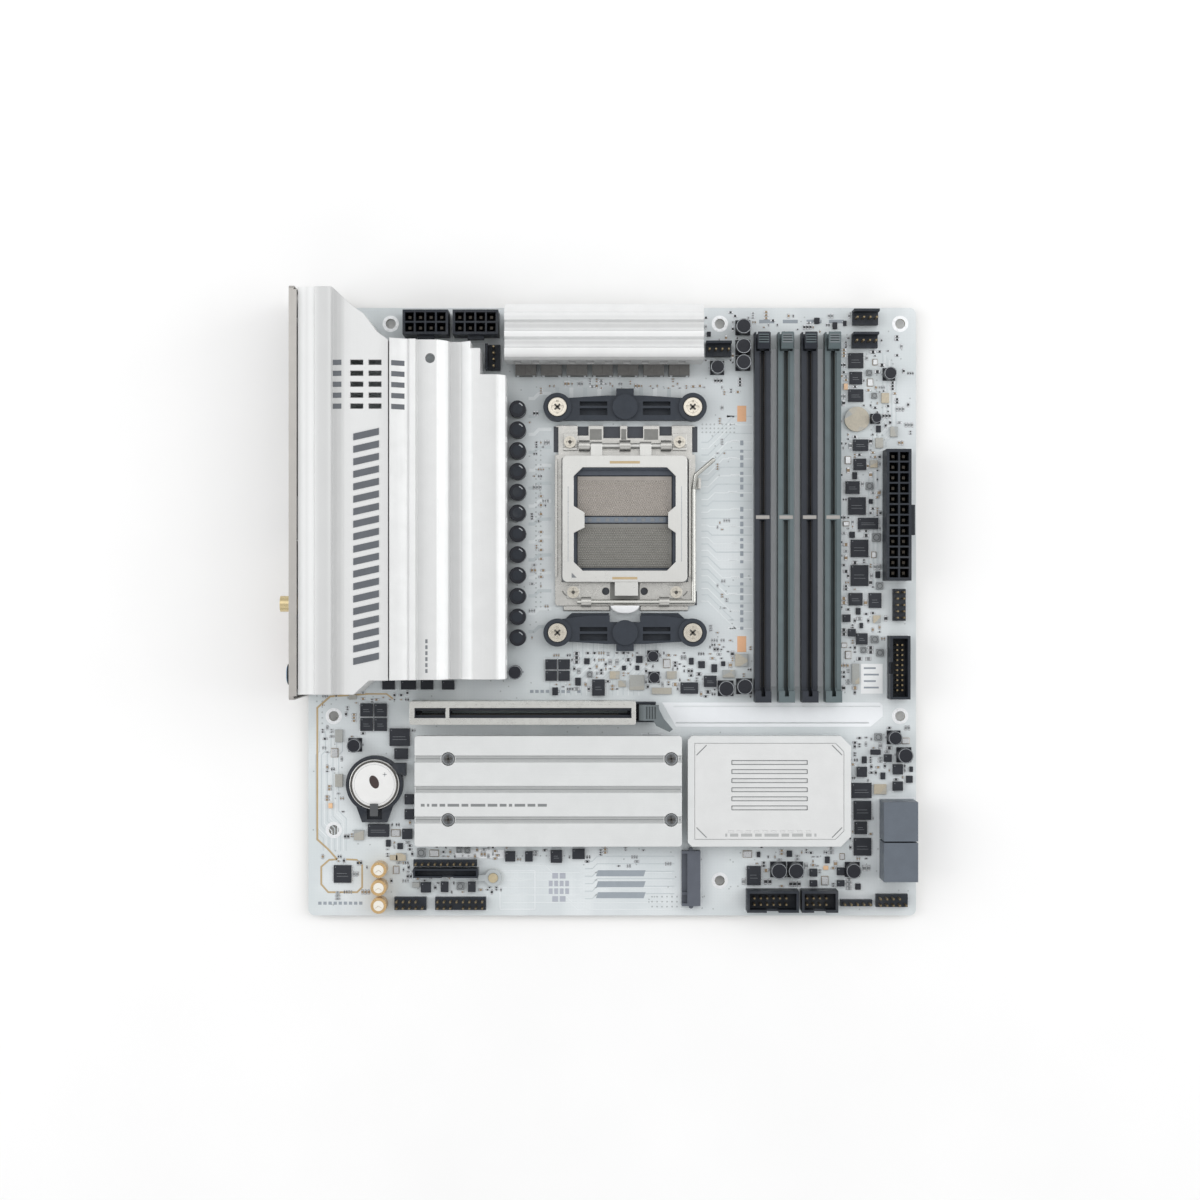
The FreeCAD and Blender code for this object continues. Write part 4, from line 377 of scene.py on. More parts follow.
M["pins"] = pin_material()
M["passive"] = passive_material()
CAD = {
    "pcb": "pcb", "io_shield": "shield", "io_cover": "cover", "cover_inlay": "inlay", "vrm_heatsink_left": "sink_left",
    "vrm_heatsink_top": "sink_top", "vrm_chokes": "ferrite", "heatsink_screws": "dark_screw", "socket_body": "socket_black",
    "socket_contacts": "contacts", "socket_frame": "frame_steel", "load_plate": "plate_steel", "load_lever": "wire",
    "frame_screws": "zinc", "cooler_brackets": "bracket", "bracket_screws": "nickel", "backplate": "back",
    "dimm_slot_1": "slot_black", "dimm_slot_2": "slot_grey", "dimm_slot_3": "slot_black", "dimm_slot_4": "slot_grey",
    "dimm_latch_1": "slot_black", "dimm_latch_2": "slot_grey", "dimm_latch_3": "slot_black", "dimm_latch_4": "slot_grey",
    "pcie_slot": "slot_black", "pcie_shield": "steel", "pcie_latch": "clip_grey", "m2_heatsink": "alu_x",
    "m2_heatsink_screws": "dark_screw", "m2_standoffs": "brass", "thermal_pads": "pad", "m2_sockets": "m2", "m2_latch": "latch_grey",
    "chipset_heatsink": "alu_x", "chipset_plate": "plate_white", "chipset_package": "chip", "atx_power": "black", "eps_power": "black",
    "sata_ports": "sata", "fan_headers": "black", "board_headers": "black", "header_pins": "pins", "battery_holder": "black",
    "battery": "battery", "battery_clip": "dull_clip", "display_and_usb_ports": "tin", "ethernet_port": "tin", "port_inserts": "rings",
    "audio_jacks": "black", "antenna_ports": "gold", "wireless_card": "tin", "button_housing": "black",
    "flashback_button": "white_plastic", "controller_chips": "chip", "small_passives": "passive", "capacitors": "cap",
    "audio_caps": "gold_cap", "status_leds": "led", "solder_tails": "solder",
}
for node, key in CAD.items():
    o = frame["nodes"][node]
    if not o.material_slots:
        o.data.materials.append(M[key])
    for s in o.material_slots:
        s.material = M[key]


# ------------------------------------------------------------------ mesh helpers
def islands(node):
    """The separate solids of a CAD node, as lowest and highest corners in board millimetres."""
    me = frame["nodes"][node].data
    key, rep = {}, []
    for v in me.vertices:
        k = tuple(round(c * 1e6) for c in v.co)
        key.setdefault(k, len(key))
        rep.append(key[k])
    parent = list(range(len(key)))

    def find(a):
        while parent[a] != a:
            parent[a] = parent[parent[a]]
            a = parent[a]
        return a

    for p in me.polygons:
        a = find(rep[p.vertices[0]])
        for i in p.vertices[1:]:
            parent[find(rep[i])] = a
    out = {}
    for i, v in enumerate(me.vertices):
        r = find(rep[i])
        p = (v.co.x * 1000 - OX, v.co.y * 1000 - OY, v.co.z * 1000)
        if r not in out:
            out[r] = [list(p), list(p)]
        for a in range(3):
            out[r][0][a] = min(out[r][0][a], p[a])
            out[r][1][a] = max(out[r][1][a], p[a])
    return sorted([(tuple(a), tuple(b)) for a, b in out.values()])


class Build:
    """Collects faces in board millimetres and makes one object of them."""

    def __init__(self):
        self.v, self.f, self.m = [], [], []

    def face(self, pts, mat=0):
        n = len(self.v)
        self.v += [W(*p) for p in pts]
        self.f.append(tuple(range(n, n + len(pts))))
        self.m.append(mat)

    def raw(self, pts, faces, mat=0):
        n = len(self.v)
        self.v += [W(*p) for p in pts]
        for f in faces:
            self.f.append(tuple(n + i for i in f))
            self.m.append(mat)

    def block(self, x0, y0, z0, x1, y1, z1, c=0.1, mat=0):
        """A box with its top edges and upright edges chamfered."""
        c = min(c, (x1 - x0) * 0.3, (y1 - y0) * 0.3, (z1 - z0) * 0.4)
        o = [(x0 + c, y0), (x1 - c, y0), (x1, y0 + c), (x1, y1 - c), (x1 - c, y1), (x0 + c, y1), (x0, y1 - c), (x0, y0 + c)]
        i = [(x0 + 2 * c, y0 + c), (x1 - 2 * c, y0 + c), (x1 - c, y0 + 2 * c), (x1 - c, y1 - 2 * c), (x1 - 2 * c, y1 - c),
             (x0 + 2 * c, y1 - c), (x0 + c, y1 - 2 * c), (x0 + c, y0 + 2 * c)]
        pts = [(x, y, z0) for x, y in o] + [(x, y, z1 - c) for x, y in o] + [(x, y, z1) for x, y in i]
        faces = [tuple(range(7, -1, -1)), tuple(range(16, 24))]
        for k in range(8):
            n = (k + 1) % 8
            faces += [(k, n, n + 8, k + 8), (k + 8, n + 8, n + 16, k + 16)]
        self.raw(pts, faces, mat)

    def slab(self, pts, z0, z1, mat=0):
        """A thin prism on a convex outline given anticlockwise."""
        n = len(pts)
        v = [(x, y, z0) for x, y in pts] + [(x, y, z1) for x, y in pts]
        faces = [tuple(range(n - 1, -1, -1)), tuple(range(n, 2 * n))]
        faces += [(k, (k + 1) % n, (k + 1) % n + n, k + n) for k in range(n)]
        self.raw(v, faces, mat)

    def rect(self, x0, y0, x1, y1, z0, z1, mat=0):
        self.slab([(x0, y0), (x1, y0), (x1, y1), (x0, y1)], z0, z1, mat)

    def ring(self, x, y, r0, r1, z0, z1, n=24, mat=0, a0=0.0, a1=360.0):
        """A flat washer, a disc when it has no hole, or a sector of either."""
        full = a1 - a0 >= 359.9
        if r0 <= 0.0:
            arc = [(x + r1 * math.cos(math.radians(a0 + (a1 - a0) * k / n)), y + r1 * math.sin(math.radians(a0 + (a1 - a0) * k / n)))
                   for k in range(n if full else n + 1)]
            return self.slab(arc if full else [(x, y)] + arc, z0, z1, mat)
        m = n if full else n + 1
        pts = []
        for k in range(m):
            a = math.radians(a0 + (a1 - a0) * k / n)
            ca, sa = math.cos(a), math.sin(a)
            pts += [(x + r0 * ca, y + r0 * sa, z0), (x + r1 * ca, y + r1 * sa, z0), (x + r1 * ca, y + r1 * sa, z1),
                    (x + r0 * ca, y + r0 * sa, z1)]
        faces = []
        for k in range(n):
            a, b = 4 * k, 4 * ((k + 1) % m)
            faces += [(a, a + 3, b + 3, b), (a + 1, b + 1, b + 2, a + 2), (a + 2, b + 2, b + 3, a + 3), (a, b, b + 1, a + 1)]
        if not full:
            faces += [(0, 1, 2, 3), (4 * n + 3, 4 * n + 2, 4 * n + 1, 4 * n)]
        self.raw(pts, faces, mat)

    def lathe(self, x, y, profile, n=28, mat=0):
        """A turned shape about a vertical line, from (radius, z) pairs that end on the axis."""
        pts, rows = [], []
        for r, z in profile:
            if r < 1e-6:
                rows.append([len(pts)] * n)
                pts.append((x, y, z))
            else:
                rows.append(list(range(len(pts), len(pts) + n)))
                pts += [(x + r * math.cos(2 * math.pi * k / n), y + r * math.sin(2 * math.pi * k / n), z) for k in range(n)]
        faces = []
        for a, b in zip(rows, rows[1:]):
            for k in range(n):
                q = [a[k], a[(k + 1) % n], b[(k + 1) % n], b[k]]
                q = [p for i, p in enumerate(q) if p not in q[:i]]
                if len(q) > 2:
                    faces.append(tuple(q))
        self.raw(pts, faces, mat)

    def ribbon(self, pts, w, z0, z1, mat=0):
        """A flat strip of constant width along a bent line."""
        left, right = [], []
        n = len(pts)
        for i, (x, y) in enumerate(pts):
            dirs = []
            if i:
                dirs.append(Vector((x - pts[i - 1][0], y - pts[i - 1][1])).normalized())
            if i < n - 1:
                dirs.append(Vector((pts[i + 1][0] - x, pts[i + 1][1] - y)).normalized())
            t = sum(dirs, Vector((0, 0))).normalized()
            k = w / 2 / max(0.5, t.dot(dirs[0]))
            left.append((x - t.y * k, y + t.x * k))
            right.append((x + t.y * k, y - t.x * k))
        v = []
        for (a, b), (c, d) in zip(left, right):
            v += [(a, b, z0), (c, d, z0), (c, d, z1), (a, b, z1)]
        faces = [(0, 3, 2, 1), (4 * n - 4, 4 * n - 3, 4 * n - 2, 4 * n - 1)]
        for i in range(n - 1):
            a, b = 4 * i, 4 * i + 4
            faces += [(a + 3, b + 3, b + 2, a + 2), (a, a + 1, b + 1, b), (a + 1, a + 2, b + 2, b + 1), (a, b, b + 3, a + 3)]
        self.raw(v, faces, mat)

    def make(self, name, body, mats):
        me = bpy.data.meshes.new(name)
        me.from_pydata(self.v, [], self.f)
        for m in mats:
            me.materials.append(m)
        me.polygons.foreach_set("material_index", self.m)
        me.validate()
        me.update()
        o = bpy.data.objects.new(name, me)
        bpy.context.scene.collection.objects.link(o)
        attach(o, body)
        return o


TOP = 1.6
PRINT = TOP + 0.03


# ------------------------------------------------------------------ finishes for the added pieces
M["print"] = material("white_print", rgb(236, 239, 242), rough=0.5, var=0.02, vscale=200.0, grain=0.3)
M["print_grey"] = material("grey_print", rgb(150, 158, 166), rough=0.5, var=0.06, vscale=300.0, grain=0.3)
M["print_lilac"] = material("lilac_print", rgb(172, 176, 186), rough=0.5, var=0.05, vscale=300.0, grain=0.3)
M["print_orange"] = material("orange_print", rgb(228, 178, 138), rough=0.5, var=0.06, vscale=300.0, grain=0.3)
M["label"] = material("paper_label", rgb(243, 245, 246), rough=0.62, var=0.02, vscale=300.0, grain=0.5, gscale=4000.0)
M["trace"] = material("covered_copper", rgb(196, 204, 207), rough=0.38, var=0.05, vscale=90.0, grain=0.15)
M["trace_hi"] = material("covered_copper_light", rgb(224, 229, 231), rough=0.36, var=0.04, vscale=90.0, grain=0.15)
M["via"] = material("via_ring", rgb(168, 174, 174), rough=0.36, metal=0.4, var=0.10, vscale=900.0, grain=0.1)
M["ring"] = material("tinned_land", rgb(236, 238, 240), rough=0.34, metal=0.35, var=0.05, vscale=500.0, grain=0.4)
M["audio_line"] = material("bare_copper_line", rgb(190, 168, 132), rough=0.4, metal=0.35, var=0.08, vscale=300.0, grain=0.2)
M["mlcc"] = material("ceramic_tan", rgb(158, 138, 112), rough=0.55, var=0.14, vscale=500.0, grain=0.3)
M["resistor"] = material("resistor_black", rgb(40, 42, 46), rough=0.4, var=0.12, vscale=500.0, grain=0.2)
M["grey_part"] = material("ceramic_grey", rgb(138, 142, 144), rough=0.5, var=0.12, vscale=500.0, grain=0.3)
M["end_cap"] = material("tin_end", rgb(206, 208, 210), rough=0.3, metal=0.85, var=0.07, vscale=700.0, grain=0.1)
M["mark"] = material("grey_mark", rgb(122, 126, 130), rough=0.6, var=0.05, vscale=500.0, grain=0.1)
M["groove"] = material("groove_shadow", rgb(176, 178, 178), rough=0.6, metal=0.1, var=0.05, vscale=300.0, grain=0.2, streak="X",
                       streak_k=0.1)
M["groove_dark"] = material("etched_mark_and_crease_shade", rgb(128, 131, 132), rough=0.6, var=0.06, vscale=300.0, grain=0.3)
# lit and shaded copies of the contact finishes: the upper half gets painted light, the lower half painted shade, as
# their contacts face opposite ways
M["tip_hi"] = material("contact_tip_light", rgb(216, 210, 203), rough=0.36, metal=0.55, var=0.10, vscale=600.0, grain=0.1)
M["tip_lo"] = material("contact_tip_dark", rgb(184, 181, 174), rough=0.4, metal=0.5, var=0.10, vscale=600.0, grain=0.1)
M["field_hi"] = material("contact_field_light", rgb(160, 154, 148), rough=0.6, var=0.08, vscale=300.0, grain=0.3)
M["field_lo"] = material("contact_field_dark", rgb(127, 126, 122), rough=0.6, var=0.08, vscale=300.0, grain=0.3)
M["ridge"] = material("socket_ridge", rgb(112, 121, 132), rough=0.5, var=0.08, vscale=300.0, grain=0.4)
# a dark sheet put where the frame's ends lie in shade: painted shade
M["film"] = material("dark_film", rgb(62, 66, 74), rough=0.42, var=0.10, vscale=300.0, grain=0.3)
M["silver"] = material("bright_can_top", rgb(176, 180, 184), rough=0.3, metal=0.7, var=0.07, vscale=500.0, grain=0.2)
M["cream"] = material("cream_centre", rgb(240, 236, 226), rough=0.34, metal=0.25, var=0.04, vscale=500.0, grain=0.2)
# painted shade for recesses, rims and seams
M["rubber"] = material("recess_shadow", rgb(72, 70, 66), rough=0.6, var=0.10, vscale=600.0, grain=0.3)
M["slot_floor"] = material("slot_floor", rgb(138, 148, 150), rough=0.5, var=0.08, vscale=300.0, grain=0.2)
M["key_bar"] = material("slot_key_bar", rgb(160, 157, 153), rough=0.5, var=0.06, vscale=300.0, grain=0.2)
M["relief"] = material("shaded_steel", rgb(132, 132, 129), rough=0.42, metal=0.5, var=0.12, vscale=260.0, grain=0.15)
M["spot"] = material("dark_spot", rgb(58, 44, 42), rough=0.5, var=0.12, vscale=500.0, grain=0.3)
M["red_led"] = material("red_lens", rgb(196, 96, 72), rough=0.2, var=0.08, vscale=800.0, coat=0.6)
M["pin_dim"] = material("shaded_contact", rgb(104, 98, 86), rough=0.4, metal=0.7, var=0.10, vscale=900.0, grain=0.1)
M["led_green"] = material("green_lens", rgb(126, 190, 140), rough=0.2, var=0.06, vscale=800.0, coat=0.6)
M["blue_tongue"] = material("blue_tongue", rgb(60, 96, 140), rough=0.42, var=0.08, vscale=400.0, grain=0.3)

# ------------------------------------------------------------------ where the board is free
skip = {"pcb", "solder_tails", "backplate", "header_pins", "port_inserts", "cover_inlay", "chipset_plate", "socket_contacts"}
BOXES = []
ISL = {}
for node in frame["nodes"]:
    if node in skip:
        continue
    ISL[node] = islands(node)
    for a, b in ISL[node]:
        if a[2] < 9.0 and b[2] > 1.65:
            BOXES.append((a[0], a[1], b[0], b[1]))
HOLES = []
for m in frame["record"].get("mounts", []):
    if m["kind"] == "bore" and m["dims"]["r_mm"] > 1.9 and abs(m["axis"][2]) > 0.9:
        HOLES.append((m["pos_m"][0] * 1000 - OX, m["pos_m"][1] * 1000 - OY))
COOL = [((a[0] + b[0]) / 2, (a[1] + b[1]) / 2) for a, b in ISL["bracket_screws"]]
PLACED = [(49.6, -17.0, 54.2, 83.6), (18.0, -47.2, 110.0, -35.4), (99.0, -34.0, 109.6, -20.0), (-43.6, -121, 14.0, -103.0),
          (-119.4, -96.0, -117.2, -38.0)]


def free(x0, y0, x1, y1, gap=0.35, placed=True):
    if min(x0, y0) < -121.2 or max(x1, y1) > 121.2:
        return False
    for a, b, c, d in BOXES:
        if x0 - gap < c and x1 + gap > a and y0 - gap < d and y1 + gap > b:
            return False
    for hx, hy in HOLES:
        dx, dy = max(x0 - hx, 0, hx - x1), max(y0 - hy, 0, hy - y1)
        if dx * dx + dy * dy < 4.3 ** 2:
            return False
    if placed:
        for a, b, c, d in PLACED:
            if x0 - gap < c and x1 + gap > a and y0 - gap < d and y1 + gap > b:
                return False
    return True


# ------------------------------------------------------------------ small surface-mount parts
parts = Build()
KIND = {"mlcc": 0, "resistor": 1, "grey_part": 2}
SIZE = {"s": (1.0, 0.5, 0.35), "m": (1.6, 0.8, 0.45), "l": (2.0, 1.25, 0.6), "xl": (3.2, 1.6, 0.7)}


def chip_part(x, y, size, kind, turned=False, force=False):
    """A leadless part with a body, two wrapped end caps and solder fillets."""
    l, w, h = SIZE[size]
    hx, hy = (w / 2, l / 2) if turned else (l / 2, w / 2)
    if not force and not free(x - hx, y - hy, x + hx, y + hy):
        return False
    PLACED.append((x - hx, y - hy, x + hx, y + hy))
    e = 0.22 * l
    for s in (-1, 1):
        if turned:
            parts.block(x - hx, y + (hy - e if s > 0 else -hy), TOP, x + hx, y + (hy if s > 0 else -hy + e), TOP + h, 0.05, 3)
        else:
            parts.block(x + (hx - e if s > 0 else -hx), y - hy, TOP, x + (hx if s > 0 else -hx + e), y + hy, TOP + h, 0.05, 3)
    if turned:
        parts.block(x - hx * 0.96, y - hy + e, TOP, x + hx * 0.96, y + hy - e, TOP + h * 0.96, 0.04, KIND[kind])
        parts.rect(x - hx * 1.15, y - hy - 0.25, x + hx * 1.15, y + hy + 0.25, TOP, TOP + 0.04, 4)
    else:
        parts.block(x - hx + e, y - hy * 0.96, TOP, x + hx - e, y + hy * 0.96, TOP + h * 0.96, 0.04, KIND[kind])
        parts.rect(x - hx - 0.25, y - hy * 1.15, x + hx + 0.25, y + hy * 1.15, TOP, TOP + 0.04, 4)
    return True


def cluster(x0, y0, x1, y1, n, sizes="ssmm", kinds=("mlcc", "resistor", "grey_part"), step=0.9):
    """Rows of small parts on a grid, some places left empty, as a layout tool leaves them."""
    made = 0
    for _ in range(n * 7):
        if made >= n:
            break
        x = x0 + step * round(rnd.random() * (x1 - x0) / step)
        y = y0 + step * round(rnd.random() * (y1 - y0) / step)
        turned = rnd.random() < 0.5
        run = rnd.choice((1, 1, 2, 3))
        size, kind = rnd.choice(sizes), rnd.choice(kinds)
        size = {"s": "s", "m": "m", "l": "l", "x": "xl"}[size]
        pitch = SIZE[size][1] + 0.45
        for k in range(run):
            if chip_part(x + (k * pitch if turned else 0), y + (0 if turned else k * pitch), size, kind, turned):
                made += 1


MED = Build()


def medium(x, y, w, l, h, kind, turned=False):
    """A small moulded package with three leads, a shielded inductor, or a metal-lidded crystal."""
    if turned:
        w, l = l, w
    if not free(x - w / 2, y - l / 2, x + w / 2, y + l / 2, 0.5):
        return False
    PLACED.append((x - w / 2 - 0.3, y - l / 2 - 0.3, x + w / 2 + 0.3, y + l / 2 + 0.3))
    x0, y0, x1, y1 = x - w / 2, y - l / 2, x + w / 2, y + l / 2
    if kind == "package":
        MED.block(x0 + 0.35, y0 + 0.1, TOP + 0.05, x1 - 0.35, y1 - 0.1, TOP + h, 0.12, 0)
        for s, n_ in ((-1, 2), (1, 1)):
            for j in range(n_):
                yy = y + (j - (n_ - 1) / 2) * l * 0.6
                xa, xb = sorted((x + s * w / 2, x + s * (w / 2 - 0.4)))
                MED.rect(xa, yy - 0.2, xb, yy + 0.2, TOP, TOP + 0.18, 1)
    elif kind == "inductor":
        MED.block(x0, y0, TOP + 0.03, x1, y1, TOP + h, 0.25, 2)
        MED.ring(x, y, min(w, l) * 0.30, min(w, l) * 0.36, TOP + h, TOP + h + 0.02, 20, 0)
        MED.rect(x0 - 0.15, y - l * 0.3, x0 + 0.1, y + l * 0.3, TOP, TOP + 0.4, 1)
        MED.rect(x1 - 0.1, y - l * 0.3, x1 + 0.15, y + l * 0.3, TOP, TOP + 0.4, 1)
    else:
        MED.block(x0, y0, TOP, x1, y1, TOP + 0.35, 0.12, 3)
        MED.block(x0 + 0.15, y0 + 0.15, TOP + 0.35, x1 - 0.15, y1 - 0.15, TOP + h, 0.14, 1)
    return True


def mediums(x0, y0, x1, y1, n):
    made = 0
    for _ in range(n * 12):
        if made >= n:
            return
        k_ = rnd.choice(("package", "package", "inductor", "crystal"))
        w_, l_, h_ = {"package": (2.6, 2.9, 1.0), "inductor": (3.0, 3.0, 1.4), "crystal": (3.2, 2.5, 0.8)}[k_]
        s_ = rnd.choice((0.8, 1.0, 1.15))
        if medium(rnd.uniform(x0, x1), rnd.uniform(y0, y1), w_ * s_, l_ * s_, h_, k_, rnd.random() < 0.5):
            made += 1


mediums(92, -34, 108, 108, 22)
mediums(106, -70, 120, -44, 6)
mediums(-24, -32, 48, -15, 12)
mediums(92, -100, 103, -50, 5)
mediums(52, -111, 100, -97, 6)
mediums(-92, -108, -80, -84, 4)
mediums(-80, -112, -46, -95, 5)
mediums(36, 98, 56, 119, 4)
mediums(-118, -60, -100, -46, 2)
mediums(60, 112, 96, 118.5, 3)
MED.make("moulded_parts", "board", [M["chip"], M["end_cap"], M["grey_part"], M["mlcc"]])
dark = ("resistor", "resistor", "mlcc", "grey_part")
cluster(-26, -31, 32, -14, 86, "ssmml", dark)
cluster(33, -34, 57, -11, 40, "ssmml", dark)
cluster(92, -36, 108, 110, 150, "ssmmll", dark)
cluster(108, 66, 120, 110, 34, "ssmm", dark)
cluster(104, -70, 120, -46, 30, "smml", dark)
cluster(92, -100, 104, -50, 34, "ssmm", dark)
cluster(50, -111, 100, -96, 44, "ssmml", dark)
cluster(-118, -60, -100, -32, 26, "ssmm")
cluster(-118, -101, -104, -62, 20, "ssmm")
cluster(-92, -108, -80, -84, 26, "ssmm", dark)
cluster(-83, -100, -46, -94.5, 20, "ssmm", dark)
cluster(-78, -112.5, -44, -107.5, 16, "ssmm", dark)
cluster(-46, -103, 24, -95, 30, "ssm", ("mlcc", "grey_part", "resistor"))
cluster(-34, -14, -27, 92, 44, "ssmm", ("mlcc", "mlcc", "grey_part", "resistor"))
cluster(-26, 78, 36, 92, 40, "ssm", ("mlcc", "mlcc", "grey_part"))
cluster(36, 72, 57, 96, 16, "ssm")
cluster(36, -12, 46, 70, 26, "ss", ("mlcc", "grey_part"))
cluster(-100, -38, -82, -30, 14, "ssm", dark)
cluster(34, 100, 57, 119, 20, "ssmm", dark)
cluster(60, 111.5, 96, 119, 22, "ssm", dark)
cluster(-82, -49.5, -80.5, -47.5, 2, "s")
cluster(-112, -117, -98, -98, 16, "ssmm")
cluster(10, -47.4, 94, -46, 10, "s", ("mlcc",))
for k in range(16):                               # a neat row below each memory slot's end and beside the processor
    chip_part(-21.0 + 3.4 * k, -13.0, "m", "mlcc", True)
for k in range(12):
    chip_part(-28.6, 14.0 + 3.6 * k, "m", "mlcc", False)
    chip_part(37.6, 8.0 + 4.6 * k, "m", "mlcc", False)
parts.make("surface_parts", "board", [M["mlcc"], M["resistor"], M["grey_part"], M["end_cap"], M["solder"]])

# ------------------------------------------------------------------ leads and marks on the moulded packages
pk = Build()
for a, b in ISL["controller_chips"]:
    w, l, h = b[0] - a[0], b[1] - a[1], b[2] - a[2]
    if b[2] > 4.6 or min(w, l) < 2.2:
        continue
    z = b[2]
    pk.ring(a[0] + 0.7, b[1] - 0.7, 0.0, 0.22, z, z + 0.012, 12, 1)          # first-pin dot
    if min(w, l) >= 4.4:
        c = 0.28
        n = max(3, int((l - 1.0) / 0.65))
        for k in range(n):                                                   # formed leads down both long sides
            y = a[1] + (l - (n - 1) * 0.65) / 2 + 0.65 * k
            for s, x in ((-1, a[0]), (1, b[0])):
                x1 = x + s * 0.62
                pk.rect(min(x - s * 0.02, x1), y - 0.14, max(x - s * 0.02, x1), y + 0.14, TOP, TOP + 0.12, 0)
                xm = x + s * 0.22
                pk.rect(min(x - s * 0.02, xm), y - 0.12, max(x - s * 0.02, xm), y + 0.12, TOP + 0.12, TOP + h * 0.5, 0)
        pk.rect(a[0] + 1.2, a[1] + l * 0.36, b[0] - 1.2, a[1] + l * 0.36 + 0.16, z, z + 0.01, 1)
        pk.rect(a[0] + 1.2, a[1] + l * 0.52, b[0] - 1.7, a[1] + l * 0.52 + 0.16, z, z + 0.01, 1)
pk.make("package_leads", "board", [M["end_cap"], M["mark"]])

# ------------------------------------------------------------------ printed marks
pr = Build()
Z1 = TOP + 0.035
pr.slab([(20.0, -36.4), (25.6, -46.2), (103.6, -46.2), (108.6, -42.0), (108.6, -37.6), (107.4, -36.4)], TOP, Z1 - 0.015, 0)
pr.ribbon([(25.6, -44.6), (103.0, -44.6)], 0.5, Z1 - 0.015, Z1, 1)
pr.ribbon([(24.6, -38.0), (107.6, -38.0)], 0.35, Z1 - 0.015, Z1, 1)
for k in range(27):                                # a column of short dashes beside the memory slots
    y = -7.2 + 2.96 * k
    if k % 9 != 8:
        pr.rect(51.35, y, 52.65, y + (1.9 if k % 3 else 1.2), TOP, Z1, 2)
for y in (79.5, -13.0):
    pr.rect(50.2, y - 3.2, 53.8, y + 3.2, TOP, Z1, 3)
for x in (71.5, 81.0, 62.0, 90.0):
    pr.rect(x - 3.0, 115.8, x + 3.0, 117.2, TOP, Z1, 2)
for k in range(10):
    if k not in (4, 8):
        pr.rect(-33.0 + 2.1 * k, -32.6, -31.6 + 2.1 * k, -31.4, TOP, Z1, 2)
for i in range(3):                                 # three wide bars, and a small block of marks left of them
    pr.slab([(-6.5, -106.2 - 4.4 * i), (12.6, -106.2 - 4.4 * i), (13.4, -103.8 - 4.4 * i), (-5.7, -103.8 - 4.4 * i)], TOP, Z1, 2)
for k in range(9):
    pr.rect(-118.0 + 2.05 * k, -117.6, -116.7 + 2.05 * k, -116.4, TOP, Z1, 2)
pr.slab([(-63.0, -99.0), (-43.0, -99.0), (-43.0, -95.6), (-63.0, -95.6)], TOP, TOP + 0.02, 0)
for j, (n_, w_) in enumerate(((2, 2.3), (4, 1.5), (4, 1.5), (2, 2.3))):      # a small lilac block of approval-style marks, left blank
    for k in range(n_):
        xx = -21.4 + (k - (n_ - 1) / 2) * (w_ + 0.7)
        pr.rect(xx - w_ / 2, -116.4 + 3.1 * j, xx + w_ / 2, -114.2 + 3.1 * j, TOP, Z1, 4)
for p, q in (((-45.0, -119.4), (-31.0, -119.4)), ((-31.0, -119.4), (-31.0, -104.0)), ((-31.0, -104.0), (-45.0, -104.0)),
             ((-45.0, -104.0), (-45.0, -119.4))):
    pr.ribbon([p, q], 0.25, TOP, TOP + 0.02, 0)
# outlines round the connectors and packages, a millimetre or less outside each
for node, pad_, mat in (("board_headers", 0.45, 0), ("fan_headers", 0.45, 0), ("atx_power", 0.5, 0), ("eps_power", 0.5, 0),
                        ("controller_chips", 0.35, 0), ("m2_sockets", 0.4, 0), ("sata_ports", 0.5, 0)):
    for a, b in ISL[node]:
        if a[2] > 2.5 or (node == "controller_chips" and b[2] > 4.6):
            continue
        x0, y0, x1, y1 = a[0] - pad_, a[1] - pad_, b[0] + pad_, b[1] + pad_
        if max(x1, y1) > 121.4 or min(x0, y0) < -121.4:
            continue
        t = 0.16
        pr.rect(x0 - t, y0 - t, x1 + t, y0, TOP, TOP + 0.02, mat)
        pr.rect(x0 - t, y1, x1 + t, y1 + t, TOP, TOP + 0.02, mat)
        pr.rect(x0 - t, y0, x0, y1, TOP, TOP + 0.02, mat)
        pr.rect(x1, y0, x1 + t, y1, TOP, TOP + 0.02, mat)
for k in range(3):                                 # bright white strips between the memory slots, lightening the shaded gaps: painted light
    a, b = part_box(f"dimm_slot_{k + 1}"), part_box(f"dimm_slot_{k + 2}")
    x0, x1 = b[0][0] * 1000 - OX, a[1][0] * 1000 - OX
    pr.rect(x1 + 0.3, a[0][1] * 1000 - OY + 6, x0 - 0.3, a[1][1] * 1000 - OY - 6, TOP, Z1, 0)
pr.make("board_print", "board", [M["print"], M["trace_hi"], M["print_grey"], M["print_orange"], M["print_lilac"]])

# ------------------------------------------------------------------ covered copper, vias and lands
tr = Build()
Z0, ZT = TOP, TOP + 0.014
for k in range(26):                                # the bus from the processor to the memory slots
    y = 68.0 - 2.55 * k
    dy = (y - 37.0) * 0.42
    pts = [(35.8, y), (38.4, y), (38.4 + abs(dy) * 0.8, y + dy * 0.8), (46.0 + (k % 4) * 0.5, y + dy * 0.8)]
    if k % 2:                                      # length matching
        x = pts[-1][0]
        for j in range(4):
            pts += [(x + 0.35 + 0.9 * j, y + dy * 0.8 + 0.55), (x + 0.75 + 0.9 * j, y + dy * 0.8 + 0.55),
                    (x + 0.9 + 0.9 * j, y + dy * 0.8), (x + 1.1 + 0.9 * j, y + dy * 0.8)]
    pts.append((56.2, pts[-1][1]))
    pts = [p for i, p in enumerate(pts) if i == 0 or math.dist(p, pts[i - 1]) > 0.05]
    tr.ribbon(pts, 0.42, Z0, ZT, k % 2)
